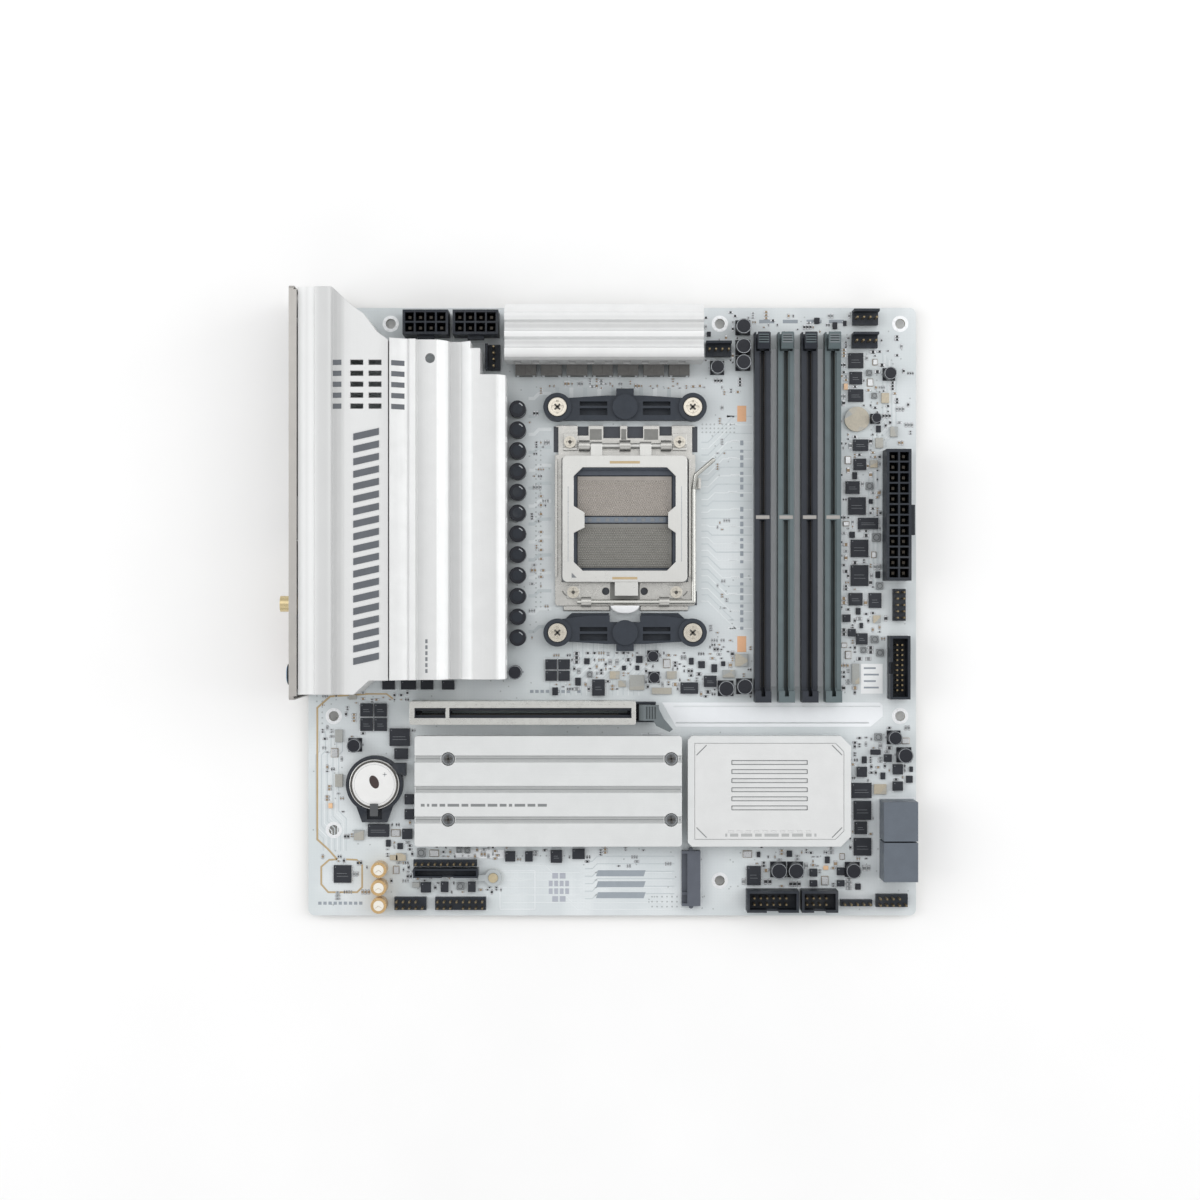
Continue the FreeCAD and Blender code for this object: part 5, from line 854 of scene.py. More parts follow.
for k in range(18):                                # from the processor down to the expansion slot
    x = -16.0 + 2.1 * k
    tr.ribbon([(x, -12.0), (x, -18.0), (x - 9.0, -27.0), (x - 9.0, -33.6)], 0.36, Z0, ZT, k % 2)
for k in range(12):                                # along the lower edge
    y = -100.2 - 1.5 * k
    tr.ribbon([(-44.0, y), (-28.0 + k, y), (-25.0 + k, y - 3.0 if y - 3.0 > -119.5 else -119.5), (24.0, y - 3.0 if y - 3.0 > -119.5 else -119.5)]
              if k % 2 else [(-11.0, y), (-8.0, y), (-6.0, y + 2.0), (25.0, y + 2.0)], 0.34, Z0, ZT, k % 2)
for k in range(9):                                 # left of the expansion slot and round the cell
    x = -119.0 + 1.15 * k
    tr.ribbon([(x + 1.5, -48.0), (x + 1.5, -56.0), (x, -57.5), (x, -88.0 + k), (x + 3.0, -91.0 + k), (x + 3.0, -96.0)], 0.34, Z0, ZT, k % 2)
for k in range(7):                                 # down the right side
    x = 104.6 + 0.9 * k
    tr.ribbon([(x, 66.0), (x, 74.0 - k), (x + 4.0, 78.0 - k), (x + 4.0, 104.0 - k)], 0.3, Z0, ZT, k % 2)
    tr.ribbon([(103.0 + 0.9 * k, 10.0), (103.0 + 0.9 * k, 56.0)], 0.3, Z0, ZT, k % 2)
for k in range(14):                                # beside the capacitors
    y = -8.0 + 7.2 * k
    tr.ribbon([(-33.6, y), (-31.4, y), (-29.4, y + 2.0), (-24.4, y + 2.0)], 1.3, Z0, ZT, k % 2)
for k in range(10):
    tr.ribbon([(-22.0 + 5.6 * k, 90.0), (-22.0 + 5.6 * k, 84.0), (-20.0 + 5.2 * k, 80.0)], 1.6, Z0, ZT, k % 2)
tr.make("covered_traces", "board", [M["trace"], M["trace_hi"]])

va = Build()
n = 0
while n < 900:
    x, y = rnd.uniform(-120, 120), rnd.uniform(-120, 120)
    if free(x - 0.3, y - 0.3, x + 0.3, y + 0.3, 0.1):
        if not (18 < x < 110 and -47 < y < -36):
            va.ring(x, y, 0.12, 0.30, TOP, TOP + 0.02, 8, 0)
    n += 1
for x0, y0, nx, ny, p in ((-30.6, 2.0, 2, 34, 1.9), (36.2, 72.0, 9, 3, 1.6), (-24.0, -13.5, 30, 2, 1.7), (104.0, 66.5, 3, 14, 2.2),
                          (-118.6, -47.0, 2, 22, 2.2), (26.4, -49.0, 1, 1, 1.0), (12.0, -118.4, 8, 3, 2.0), (-60, -98.0, 18, 1, 2.4)):
    for i in range(nx):
        for j in range(ny):
            x, y = x0 + p * i, y0 + p * j
            if free(x - 0.3, y - 0.3, x + 0.3, y + 0.3, 0.05):
                va.ring(x, y, 0.13, 0.34, TOP, TOP + 0.02, 8, 0)
for _ in range(1100):                              # the same under the board
    x, y = rnd.uniform(-119, 119), rnd.uniform(-119, 119)
    va.ring(x, y, 0.12, 0.30, -0.02, 0.0, 8, 0)
va.make("via_rings", "board", [M["via"]])

la = Build()
for x, y in HOLES:
    for z0, z1 in ((TOP, TOP + 0.045), (-0.045, 0.0)):
        la.ring(x, y, 2.0, 3.3, z0, z1, 40, 0)
        for k in range(8):
            a = math.radians(22.5 + 45 * k)
            cx_, cy_ = x + 2.65 * math.cos(a), y + 2.65 * math.sin(a)
            zb = z1 if z0 > 0 else z0 - 0.05
            la.ring(cx_, cy_, 0.0, 0.34, zb, zb + 0.05, 10, 0)
for x, y in COOL:
    la.ring(x, y, 2.7, 4.0, -0.04, 0.0, 32, 0)
la.make("hole_lands", "board", [M["ring"]])

au = Build()
au.ribbon([(-98.0, -33.0), (-113.2, -34.0), (-118.4, -38.6), (-118.4, -91.4), (-114.0, -95.4), (-110.4, -99.4)], 0.75, TOP, TOP + 0.05, 0)
au.ribbon([(-110.4, -99.4), (-113.6, -99.6), (-116.8, -102.4), (-116.8, -109.4), (-114.0, -112.6), (-102.4, -112.6), (-100.4, -110.6),
           (-100.4, -101.8), (-102.6, -99.6), (-106.8, -99.4)], 0.7, TOP, TOP + 0.05, 0)
au.ribbon([(-98.0, -33.0), (-90.6, -33.0), (-88.0, -35.0)], 0.6, TOP, TOP + 0.05, 0)
au.make("audio_boundary", "board", [M["audio_line"]])

lb = Build()
lb.rect(99.8, -32.9, 108.6, -20.9, TOP, TOP + 0.12, 0)
for k in range(4):
    lb.rect(101.0, -30.8 + 2.6 * k, 107.0 - 1.2 * (k % 2), -30.1 + 2.6 * k, TOP + 0.12, TOP + 0.13, 1)
lb.make("blank_label", "board", [M["label"], M["print_grey"]])
def top_at(node, x, y):
    """The height of a node's top surface over a point, from its own mesh."""
    from mathutils.bvhtree import BVHTree
    if node not in TREES:
        me = frame["nodes"][node].data
        TREES[node] = BVHTree.FromPolygons([v.co for v in me.vertices], [tuple(p.vertices) for p in me.polygons])
    p = W(x, y, 100.0)
    hit = TREES[node].ray_cast(Vector(p), Vector((0, 0, -1)))
    return hit[0].z * 1000 if hit[0] is not None else None


TREES = {}


def draped(bld, node, pts, lift=0.03, mat=0):
    """A thin mark laid on a node's surface."""
    top = [top_at(node, x, y) for x, y in pts]
    if any(t is None for t in top):
        return
    n = len(pts)
    under = [(x, y, t - 0.02) for (x, y), t in zip(pts, top)]
    over = [(x, y, t + lift) for (x, y), t in zip(pts, top)]
    bld.raw(under + over, [tuple(range(n - 1, -1, -1)), tuple(range(n, 2 * n))] +
            [(k, (k + 1) % n, (k + 1) % n + n, k + n) for k in range(n)], mat)




# ------------------------------------------------------------------ processor socket
so = Build()
lo_, hi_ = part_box("socket_contacts")
zc = hi_[2] * 1000
fields = sorted(islands("socket_contacts"), key=lambda q: q[0][1])
for i, (a, b) in enumerate(fields):
    # each half takes its own copy: painted light on the upper field, painted shade on the lower
    so.rect(a[0] + 0.05, a[1] + 0.05, b[0] - 0.05, b[1] - 0.05, zc, zc + 0.02, i)
    p = 0.95
    nx, ny = int((b[0] - a[0] - 0.8) / p), int((b[1] - a[1] - 0.8) / p)
    for u in range(nx):
        for v in range(ny):
            x = a[0] + 0.6 + p * u + (0.475 if v % 2 else 0.0)
            y = a[1] + 0.6 + p * v
            if x > b[0] - 0.5:
                continue
            s = 1 if i else -1
            # a sprung tip: a short foot and a blade that rises towards the middle of the socket
            so.raw([(x - 0.24, y - 0.14 * s, zc + 0.02), (x + 0.24, y - 0.14 * s, zc + 0.02), (x + 0.24, y + 0.20 * s, zc + 0.02),
                    (x - 0.24, y + 0.20 * s, zc + 0.02), (x - 0.19, y - 0.24 * s, zc + 0.42), (x + 0.19, y - 0.24 * s, zc + 0.42),
                    (x + 0.19, y - 0.10 * s, zc + 0.46), (x - 0.19, y - 0.10 * s, zc + 0.46)],
                   [(4, 5, 6, 7), (0, 1, 5, 4), (1, 2, 6, 5), (2, 3, 7, 6), (3, 0, 4, 7), (3, 2, 1, 0)], 2 + i)
ya, yb = fields[0][1][1], fields[1][0][1]
x0, x1 = fields[0][0][0], fields[0][1][0]
so.rect(x0 + 2.4, ya + 0.5, x1 - 2.4, yb - 0.5, 4.0, 4.06, 4)
for k in range(9):
    so.rect(x0 + 4.0 + 3.6 * k, ya + 0.9, x0 + 5.6 + 3.6 * k, yb - 0.9, 4.06, 4.12, 5)
so.make("contact_tips", "board", [M["field_lo"], M["field_hi"], M["tip_lo"], M["tip_hi"], M["ridge"], M["mark"]])

fl = Build()                                       # dark sheet under the frame's hinge and catch ends: painted shade
a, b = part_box("socket_frame")
fx0, fx1, fy0, fy1 = a[0] * 1000 - OX, b[0] * 1000 - OX, a[1] * 1000 - OY, b[1] * 1000 - OY
fl.rect(fx0 - 0.6, 64.0, 34.2, fy1 - 0.3, TOP, TOP + 0.12, 0)
fl.rect(fx0 + 3.2, 4.4, 30.0, 10.6, TOP, TOP + 0.12, 0)
fl.rect(31.6, fy0 + 2.0, 34.0, fy0 + 7.6, TOP, TOP + 0.12, 0)
fl.make("frame_film", "board", [M["film"]])

lip = Build()                                      # the frame's rolled lip, bowed towards the lower bracket
LX, LY, LEVELS = 5.1, 2.4, ((1.0, 5.3), (1.0, 5.8), (0.93, 6.15), (0.78, 6.4), (0.5, 6.6), (0.2, 6.66))
pts, n = [], 24
for f_, z_ in LEVELS:
    for k in range(n + 1):
        a_ = math.pi + math.pi * k / n
        pts.append((LX + 5.8 * f_ * math.cos(a_), LY + 3.2 * f_ * math.sin(a_), z_))
m_ = n + 1
faces = [tuple(range(n, -1, -1)), tuple(range((len(LEVELS) - 1) * m_, len(LEVELS) * m_))]
for j in range(len(LEVELS) - 1):
    faces += [(j * m_ + k, j * m_ + k + 1, (j + 1) * m_ + k + 1, (j + 1) * m_ + k) for k in range(n)]
faces.append(tuple(j * m_ for j in range(len(LEVELS))) + tuple(j * m_ + n for j in range(len(LEVELS) - 1, -1, -1)))
# the lip takes the bright tinned finish: painted highlight
lip.raw(pts, faces, 0)
lip.block(-19.6, 0.35, TOP, -0.9, 2.42, TOP + 1.1, 0.25, 1)         # the folded edge either side of it
lip.block(11.1, 0.35, TOP, 30.4, 2.42, TOP + 1.1, 0.25, 1)
lip.rect(-0.9, 4.95, 11.1, 11.7, 3.02, 3.06, 2)                     # the shaded recess under the plate's tongue
for u in (-16.9, 27.0):                                             # dark arcs beside the screws, at both ends: painted shade of pressed reliefs
    lip.ring(u, 9.4, 3.0, 3.5, 3.02, 3.06, 28, 2, 200 if u < 0 else 250, 290 if u < 0 else 340)
# dark bars at the hinge end: painted shade
for u, v in ((-9.0, -4.2), (3.6, 5.6), (12.8, 18.4)):
    lip.rect(u, 68.9, v, 73.2, 3.0, 3.05, 2)
lip.make("frame_lip", "board", [M["ring"], M["frame_steel"], M["relief"]])

fg = Build()                                       # low flange of the bracket, tucked under the frame's edge
for x0_, x1_, s_ in ((-18.6, -1.3, 0), (11.5, 28.8, 1)):
    pts = [(x0_, -2.6), (x1_, -2.6), (x1_, -0.5), (x0_ + 2.4, -0.5)] if s_ == 0 else [(x0_, -2.6), (x1_, -2.6), (x1_ - 2.4, -0.5), (x0_, -0.5)]
    fg.slab(pts, TOP, TOP + 2.4, 0)
fg.make("bracket_flange", "board", [M["bracket"]])

# ------------------------------------------------------------------ slots: rows of contacts in the grooves
go = Build()
for k in range(4):
    a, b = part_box(f"dimm_slot_{k + 1}")
    xc = (a[0] + b[0]) * 500 - OX
    y0, y1 = a[1] * 1000 - OY + 6.0, b[1] * 1000 - OY - 6.5
    n = int((y1 - y0) / 0.85)
    for i in range(n):
        y = y0 + 0.85 * i
        if abs(y - 37.7) < 1.7:
            continue
        for s in (-1, 1):
            xa, xb = sorted((xc + s * 0.80, xc + s * 0.56))
            go.rect(xa, y, xb, y + 0.4, 3.4, 6.2, 0)
    zt = top_at(f"dimm_slot_{k + 1}", xc, 37.7)
    go.rect(xc - 2.7, 37.0, xc + 2.7, 38.4, zt, zt + 0.03, 1)
a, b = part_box("pcie_slot")
yc = (a[1] + b[1]) * 500 - OY
x0, x1 = a[0] * 1000 - OX + 3.4, 3.0
n = int((x1 - x0) / 1.0)
for i in range(n):
    x = x0 + i
    for s in (-1, 1):
        ya_, yb_ = sorted((yc + s * 0.85, yc + s * 0.62))
        go.rect(x, ya_, x + 0.5, yb_, 5.0, 9.6, 0)
go.make("slot_contacts", "board", [M["pin_dim"], M["key_bar"]])

# ------------------------------------------------------------------ heatsink grooves, dashes and etched figures
sk = Build()
a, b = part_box("m2_heatsink")
sx0, sx1, sz = a[0] * 1000 - OX, b[0] * 1000 - OX, b[2] * 1000
for y in (-82.6, -70.5, -58.4):
    runs = [(sx0 + 0.3, sx1 - 0.3)] if y == -70.5 else [(sx0 + 0.3, -68.3), (-62.1, 20.3), (26.5, sx1 - 0.3)]
    for u, v in runs:
        # groove floors in painted shade, with a darker painted crease line down each
        sk.rect(u, y - 1.02, v, y + 1.02, sz - 1.30, sz - 1.26, 0)
        sk.rect(u, y - 0.16, v, y + 0.16, sz - 1.26, sz - 1.25, 1)
x = -76.0
for w_ in (1.5, 0.9, 2.2, 2.2, 4.6, 2.7, 5.8, 3.8, 2.7, 1.3, 4.2, 3.1, 3.6):
    sk.rect(x, -77.3, x + w_, -76.2, sz, sz + 0.015, 1)
    x += w_ + 0.95
sk.make("storage_sink_lines", "board", [M["groove"], M["groove_dark"]])

cs = Build()
a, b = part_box("chipset_plate")
cx0, cx1, cy0, cy1, cz = a[0] * 1000 - OX, b[0] * 1000 - OX, a[1] * 1000 - OY, b[1] * 1000 - OY, b[2] * 1000
cm = (cx0 + cx1) / 2


def outline(bld, pts, w, z, mat=0):
    pts = pts + [pts[0]]
    for p, q in zip(pts, pts[1:]):
        bld.ribbon([p, q], w, z, z + 0.02, mat)


for k in range(6):                                 # dark lines along the edges of the plate's straight grooves: painted shade
    y = -78.6 + 3.6 * k
    outline(cs, [(47.4, y), (77.4, y), (77.4, y + 1.6), (47.4, y + 1.6)], 0.34, cz)
for x, y, dx, dy in ((cx0 + 0.6, cy0 + 4.6, 4.0, -4.0), (cx0 + 0.6, cy1 - 4.6, 4.0, 4.0), (cx1 - 0.6, cy0 + 4.6, -4.0, -4.0),
                     (cx1 - 0.6, cy1 - 4.6, -4.0, 4.0)):
    cs.ribbon([(x, y), (x + dx, y + dy)], 0.4, cz, cz + 0.02, 0)
x = cm - 17.5
for w_ in (0.8, 3.2, 4.4, 2.6, 5.6, 3.0, 4.4, 2.2, 0.8):
    cs.rect(x, -89.2, x + w_, -88.0, cz, cz + 0.02, 1)
    x += w_ + 1.15
cs.make("chipset_figure", "board", [M["groove_dark"], M["groove"]])



fs = Build()                                       # pale greenish floor of the expansion slot's groove
a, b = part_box("pcie_slot")
yc = (a[1] + b[1]) * 500 - OY
x = a[0] * 1000 - OX + 3.6
while x < b[0] * 1000 - OX - 8.0:
    if all(top_at("pcie_slot", x + u_, yc) is not None and top_at("pcie_slot", x + u_, yc) < 9.0 for u_ in (-0.2, 1.2)):
        draped(fs, "pcie_slot", [(x, yc - 0.5), (x + 1.0, yc - 0.5), (x + 1.0, yc + 0.5), (x, yc + 0.5)], 0.04)
    x += 1.0
if fs.v:
    fs.make("slot_floor", "board", [M["slot_floor"]])

lh = Build()
for k in range(6):
    x, y = -72.0, -23.5 + 2.3 * k
    draped(lh, "vrm_heatsink_left", [(x - 0.45, y), (x + 0.45, y), (x + 0.45, y + 1.5), (x - 0.45, y + 1.5)])
lh.make("left_sink_dashes", "board", [M["mark"]])

ch = Build()                                       # straight bars either side of the cover's vent slots
for k in range(5):
    y = 78.0 + 4.2 * k
    draped(ch, "io_cover", [(-107.3, y), (-105.8, y), (-105.8, y + 2.0), (-107.3, y + 2.0)], 0.05)
    draped(ch, "io_cover", [(-105.8, y), (-104.0, y), (-104.0, y + 2.0), (-105.8, y + 2.0)], 0.05)
    draped(ch, "vrm_heatsink_left", [(-85.0, y), (-80.2, y), (-80.2, y + 2.0), (-85.0, y + 2.0)], 0.05)
ch.make("cover_bars", "board", [M["inlay"]])

# ------------------------------------------------------------------ capacitors
cp = Build()
for a, b in ISL["capacitors"]:
    x, y, r, z = (a[0] + b[0]) / 2, (a[1] + b[1]) / 2, (b[0] - a[0]) / 2, b[2]
    small = z < 8.6
    if small:                                      # a can on a moulded foot: bright rim, dark sector, foot tabs
        cp.ring(x, y, r * 0.90, r * 0.965, z, z + 0.05, 32, 1)
        cp.ring(x, y, 0.0, r * 0.70, z, z + 0.03, 28, 0, 200, 340)
        for s in (-1, 1):
            cp.rect(x + s * (r + 0.35) - 0.35, y - 0.4, x + s * (r + 0.35) + 0.35, y + 0.4, TOP, TOP + 0.1, 1)
    else:
        cp.ring(x, y, r * 0.78, r * 0.93, z, z + 0.06, 36, 0)
        cp.ring(x, y, 0.0, r * 0.60, z, z + 0.03, 28, 2)
        # a short bright arc on the top: painted highlight
        cp.ring(x, y, r * 0.62, r * 0.74, z, z + 0.035, 28, 1, 30, 75)
cp.make("capacitor_tops", "board", [M["cap"], M["silver"], M["black"]])
gc = Build()
for a, b in ISL["audio_caps"]:
    x, y, r, z = (a[0] + b[0]) / 2, (a[1] + b[1]) / 2, (b[0] - a[0]) / 2, b[2]
    gc.ring(x, y, 0.0, r * 0.66, z, z + 0.04, 32, 0)
    gc.ring(x, y, r * 0.66, r * 0.94, z, z + 0.02, 32, 1)
    gc.ribbon([(x - r * 0.4, y - r * 0.3), (x, y), (x + r * 0.4, y - r * 0.3)], 0.12, z + 0.04, z + 0.05, 1)
gc.make("audio_cap_tops", "board", [M["cream"], M["gold_cap"]])

# ------------------------------------------------------------------ screws
# the drive recesses are flat dark crosses and hexagons: painted shade
sc = Build()
for a, b in ISL["bracket_screws"]:
    x, y, r, z = (a[0] + b[0]) / 2, (a[1] + b[1]) / 2, (b[0] - a[0]) / 2, b[2]
    sc.ring(x, y, r * 0.93, r * 1.0, z - 0.10, z + 0.01, 36, 1)
    sc.ring(x, y, r * 0.60, r * 0.66, z, z + 0.03, 36, 1)
    for t_ in (45, 135):
        c_, s_ = math.cos(math.radians(t_)), math.sin(math.radians(t_))
        sc.ribbon([(x - c_ * r * 0.42, y - s_ * r * 0.42), (x + c_ * r * 0.42, y + s_ * r * 0.42)], 0.72, z, z + 0.03, 0)
for node in ("frame_screws",):
    for a, b in ISL[node]:
        x, y, z = (a[0] + b[0]) / 2, (a[1] + b[1]) / 2, b[2]
        sc.ring(x, y, 0.0, 0.75, z, z + 0.03, 6, 0)
        sc.ring(x, y, 1.5, 1.66, z, z + 0.02, 24, 1)
for a, b in ISL["m2_heatsink_screws"]:
    x, y, r, z = (a[0] + b[0]) / 2, (a[1] + b[1]) / 2, (b[0] - a[0]) / 2, b[2]
    sc.ring(x, y, r * 0.86, r * 0.97, z, z + 0.03, 32, 2)
    for t_ in (20, 110):
        c_, s_ = math.cos(math.radians(t_)), math.sin(math.radians(t_))
        sc.ribbon([(x - c_ * 1.3, y - s_ * 1.3), (x + c_ * 1.3, y + s_ * 1.3)], 0.62, z, z + 0.03, 0)
sc.make("screw_recesses", "board", [M["rubber"], M["zinc"], M["silver"]])

# ------------------------------------------------------------------ battery
ba = Build()
a, b = ISL["battery"][0]
x, y, r, z = (a[0] + b[0]) / 2, (a[1] + b[1]) / 2, (b[0] - a[0]) / 2, b[2]
ba.ring(x, y, r - 2.05, r - 1.95, z, z + 0.03, 56, 0)
# a darker ring at the can's rounded rim: painted shade
ba.ring(x, y, r - 1.15, r - 0.35, z - 0.02, z + 0.02, 56, 1)
oval = []                                          # a dark oval spot a little above the middle: painted reflection of the camera
for k in range(32):
    a_ = 2 * math.pi * k / 32
    u_, v_ = 1.75 * math.cos(a_), 2.75 * math.sin(a_)
    c_, s_ = math.cos(math.radians(24)), math.sin(math.radians(24))
    oval.append((x + u_ * c_ - v_ * s_, y + 1.0 + u_ * s_ + v_ * c_))
ba.slab(oval, z, z + 0.03, 2)
ba.ribbon([(x + 3.4, y + 4.0), (x + 5.0, y + 4.0)], 0.3, z, z + 0.02, 0)
ba.ribbon([(x + 4.2, y + 3.2), (x + 4.2, y + 4.8)], 0.3, z, z + 0.02, 0)
ba.make("cell_marks_shade_and_reflection", "board", [M["silver"], M["rubber"], M["spot"]])

# ------------------------------------------------------------------ chokes
ck = Build()
for a, b in ISL["vrm_chokes"]:
    w_, l_, z = b[0] - a[0], b[1] - a[1], b[2]
    for s in (0, 1):
        xx = a[0] + 0.9 if s == 0 else b[0] - 0.9
        ck.rect(xx - 0.5, a[1] - 0.12, xx + 0.5, a[1] + 0.02, TOP, z - 1.2, 0)
    ck.rect(a[0] + w_ * 0.5 - 0.05, a[1] + 0.5, a[0] + w_ * 0.5 + 0.05, b[1] - 0.5, z, z + 0.012, 1)
ck.make("choke_terminals", "board", [M["end_cap"], M["rubber"]])

# ------------------------------------------------------------------ moving parts: details that ride with them
for k in range(4):
    n_ = f"dimm_latch_{k + 1}"
    a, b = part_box(n_)
    la_ = Build()
    x0_, x1_, y1_, z1_ = a[0] * 1000 - OX, b[0] * 1000 - OX, b[1] * 1000 - OY, b[2] * 1000
    for j in range(4):                             # finger ridges across the top of the tab
        ty = y1_ - 1.1 - 1.0 * j
        t_ = top_at(n_, (x0_ + x1_) / 2, ty)
        if t_ is not None and t_ > z1_ - 1.5:
            la_.rect(x0_ + 1.0, ty - 0.2, x1_ - 1.0, ty + 0.2, t_, t_ + 0.015, 0)
    if la_.v:
        la_.make(f"latch_grip_{k + 1}", f"{n_}_body", [M["mark"] if k % 2 else M["slot_grey"]])

lp = Build()
a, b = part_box("load_plate")
px0, px1, py0, py1, pz = a[0] * 1000 - OX, b[0] * 1000 - OX, a[1] * 1000 - OY, b[1] * 1000 - OY, b[2] * 1000
for q in ([(-16.2, 13.6), (-14.2, 13.6), (-16.2, 15.6)],):
    draped(lp, "load_plate", q, 0.02, 0)
for x, y, l_ in ((-17.6, 20.0, 30.0), (27.6, 20.0, 30.0)):
    draped(lp, "load_plate", [(x - 0.14, y), (x + 0.14, y), (x + 0.14, y + l_), (x - 0.14, y + l_)], 0.015, 1)
for y, w_ in ((59.6, 12.0), (13.4, 10.0)):
    draped(lp, "load_plate", [(5.0 - w_ / 2, y - 0.5), (5.0 + w_ / 2, y - 0.5), (5.0 + w_ / 2, y + 0.5), (5.0 - w_ / 2, y + 0.5)], 0.015, 2)
lp.make("load_plate_marks", "load_plate_body", [M["mark"], M["silver"], M["audio_line"]])

# ------------------------------------------------------------------ rear ports: contacts and lamps seen from the back
rp = Build()
xf = -124.5
for y, zc_ in ((95.5, 5.4), (95.5, 13.0), (76.5, 5.4), (76.5, 13.0), (57.5, 15.0), (36.5, 5.4), (36.5, 12.8)):
    for k in range(4):
        yy = y - 3.6 + 2.4 * k
        rp.rect(-122.6, yy - 0.45, -117.0, yy + 0.45, zc_ - 0.22, zc_ - 0.19, 0)
for k in range(8):
    yy = 33.0 + 1.0 * k
    rp.rect(-122.0, yy - 0.16, -114.0, yy + 0.16, 19.6, 19.8, 0)
for s, m_ in ((-1, 1), (1, 2)):
    rp.rect(xf + 0.02, 36.5 + s * 7.0 - 0.9, xf + 0.3, 36.5 + s * 7.0 + 0.9, 28.2, 29.6, m_)
rp.make("port_contacts", "board", [M["pin"], M["led_green"], M["led"]])

# ------------------------------------------------------------------ under the board
un = Build()
zb = -0.03
for node, m_ in (("dimm_slot_1", 0), ("dimm_slot_2", 0), ("dimm_slot_3", 0), ("dimm_slot_4", 0), ("pcie_slot", 0), ("atx_power", 0)):
    a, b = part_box(node)
    x0_, x1_, y0_, y1_ = a[0] * 1000 - OX, b[0] * 1000 - OX, a[1] * 1000 - OY, b[1] * 1000 - OY
    x0_, x1_, y0_, y1_ = max(x0_, -121), min(x1_, 121), max(y0_, -121), min(y1_, 121)
    for p, q in (((x0_, y0_), (x1_, y0_)), ((x1_, y0_), (x1_, y1_)), ((x1_, y1_), (x0_, y1_)), ((x0_, y1_), (x0_, y0_))):
        un.ribbon([p, q], 0.2, zb, 0.0, 0)
for k in range(30):
    x = -14.0 + 1.3 * k
    un.ribbon([(x, -16.0), (x, -22.0), (x - 8, -30.0), (x - 8, -34.0)], 0.36, -0.015, 0.0, 1 + k % 2)
for k in range(30):
    y = -8.0 + 2.9 * k
    un.ribbon([(40.2, y), (50.0, y), (52.0, y + 2.0), (92.0, y + 2.0)], 0.4, -0.015, 0.0, 1 + k % 2)
for k in range(22):
    y = -52.0 - 2.4 * k
    un.ribbon([(-100.0 + k, y), (-40.0, y), (-36.0 + k, y + 3.0), (30.0 + k, y + 3.0)], 0.4, -0.015, 0.0, 1 + k % 2)
for k in range(16):
    y = 6.0 + 5.4 * k
    un.ribbon([(-92.0, y), (-60.0, y), (-56.0, y + 3.0), (-38.0, y + 3.0)], 1.4, -0.015, 0.0, 1 + k % 2)
un.make("underside_traces", "board", [M["print"], M["trace"], M["trace_hi"]])
us = Build()
for _ in range(150):                               # decoupling parts under the processor and the memory
    x = rnd.choice((rnd.uniform(-60, -36), rnd.uniform(44, 100), rnd.uniform(-20, 30)))
    y = rnd.uniform(-14, 84) if abs(x) > 34 else rnd.choice((rnd.uniform(-30, -18), rnd.uniform(92, 104)))
    hit = any(abs(x - hx) < 6 and abs(y - hy) < 6 for hx, hy in HOLES + COOL)
    slot_hit = any(abs(x - (59.9 + 9.35 * q)) < 1.8 for q in range(4))
    if hit or slot_hit:
        continue
    t_ = rnd.random() < 0.5
    l_, w_ = (0.5, 1.0) if t_ else (1.0, 0.5)
    us.rect(x - w_, y - l_, x + w_, y + l_, -0.5, 0.0, 0)
    e_ = 0.3
    if w_ > l_:
        us.rect(x - w_ - 0.01, y - l_ - 0.01, x - w_ + e_, y + l_ + 0.01, -0.52, 0.0, 1)
        us.rect(x + w_ - e_, y - l_ - 0.01, x + w_ + 0.01, y + l_ + 0.01, -0.52, 0.0, 1)
    else:
        us.rect(x - w_ - 0.01, y - l_ - 0.01, x + w_ + 0.01, y - l_ + e_, -0.52, 0.0, 1)
        us.rect(x - w_ - 0.01, y + l_ - e_, x + w_ + 0.01, y + l_ + 0.01, -0.52, 0.0, 1)
us.make("underside_parts", "board", [M["mlcc"], M["end_cap"]])


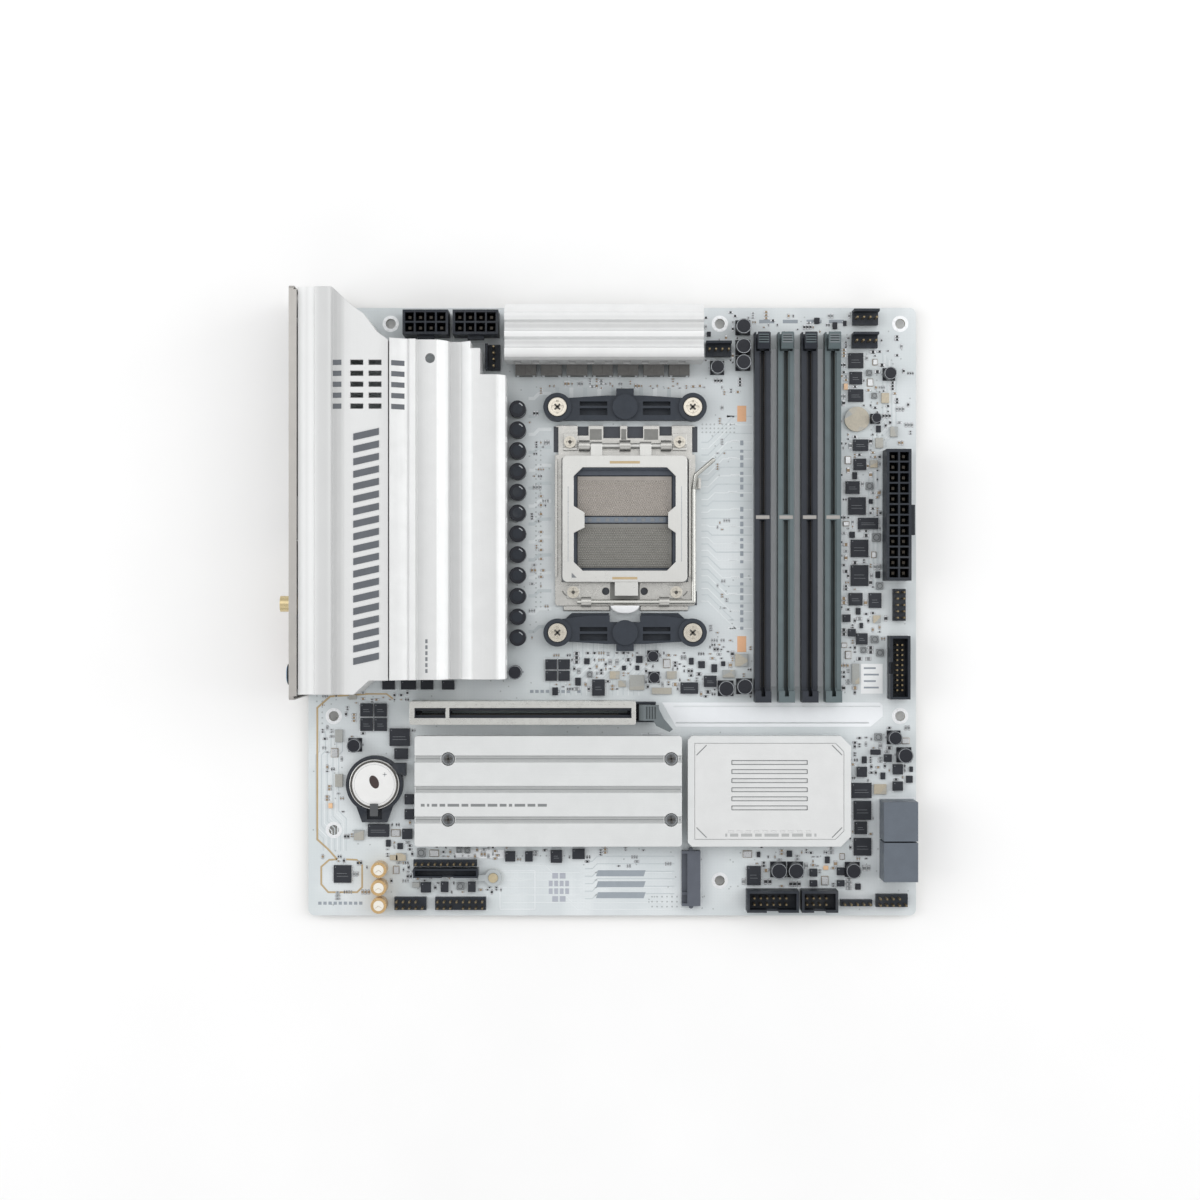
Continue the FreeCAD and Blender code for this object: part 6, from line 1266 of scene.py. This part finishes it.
# ------------------------------------------------------------------ floor, light and camera
def floor():
    import bmesh
    bm = bmesh.new()
    bmesh.ops.create_grid(bm, x_segments=12, y_segments=12, size=6.0)
    me = bpy.data.meshes.new("floor")
    bm.to_mesh(me)
    bm.free()
    o = bpy.data.objects.new("floor", me)
    o.location = (OX / 1000, OY / 1000, CAD_LO[2] - 0.0001)
    bpy.context.scene.collection.objects.link(o)
    k = Nodes("pale_floor")
    k.link(k.mix(k.remap(k.noise(9.0, 3.0), 0.0, 1.0), (0.90, 0.90, 0.90, 1), (0.93, 0.93, 0.93, 1)), k.p.inputs["Base Color"])
    k.link(k.remap(k.noise(40.0), 0.86, 0.94), k.p.inputs["Roughness"])
    k.p.inputs["Specular IOR Level"].default_value = 0.1
    me.materials.append(k.m)
    return o


def area(name, loc, size, power, target):
    d = bpy.data.lights.new(name, "AREA")
    d.shape = "RECTANGLE"
    d.size, d.size_y = size
    d.energy = power
    o = bpy.data.objects.new(name, d)
    o.location = loc
    o.rotation_euler = (Vector(target) - Vector(loc)).to_track_quat("-Z", "Y").to_euler()
    bpy.context.scene.collection.objects.link(o)
    return o


floor()
centre = W(-2, 3, 0)
area("soft_left", (centre[0] - 0.85, centre[1] + 0.10, 0.45), (0.7, 1.1), 3.9, centre)
area("soft_right", (centre[0] + 0.85, centre[1] + 0.15, 0.45), (0.7, 1.1), 3.9, centre)
area("soft_top", (centre[0] + 0.05, centre[1] + 0.45, 1.15), (1.4, 0.8), 3.2, centre)
area("soft_front", (centre[0], centre[1] - 0.8, 0.8), (1.2, 0.6), 0.9, centre)
world = bpy.data.worlds.new("studio")
bpy.context.scene.world = world
world.use_nodes = True
bg = next(n for n in world.node_tree.nodes if n.type == "BACKGROUND")
bg.inputs["Color"].default_value = (1.0, 1.0, 1.0, 1.0)
bg.inputs["Strength"].default_value = 0.62

cam = bpy.data.cameras.new("camera")
cam.sensor_fit = "HORIZONTAL"
cam.sensor_width = 36.0
cam.lens = 63.52
cam.clip_start, cam.clip_end = 0.01, 20.0
co = bpy.data.objects.new("camera", cam)
co.location = (0.10686, 0.04661, 0.8516)
co.rotation_euler = (0, 0, 0)
bpy.context.scene.collection.objects.link(co)
bpy.context.scene.camera = co
vs = bpy.context.scene.view_settings
vs.view_transform = "Standard"
vs.look = "None"
vs.exposure = 0.0
vs.gamma = 1.0
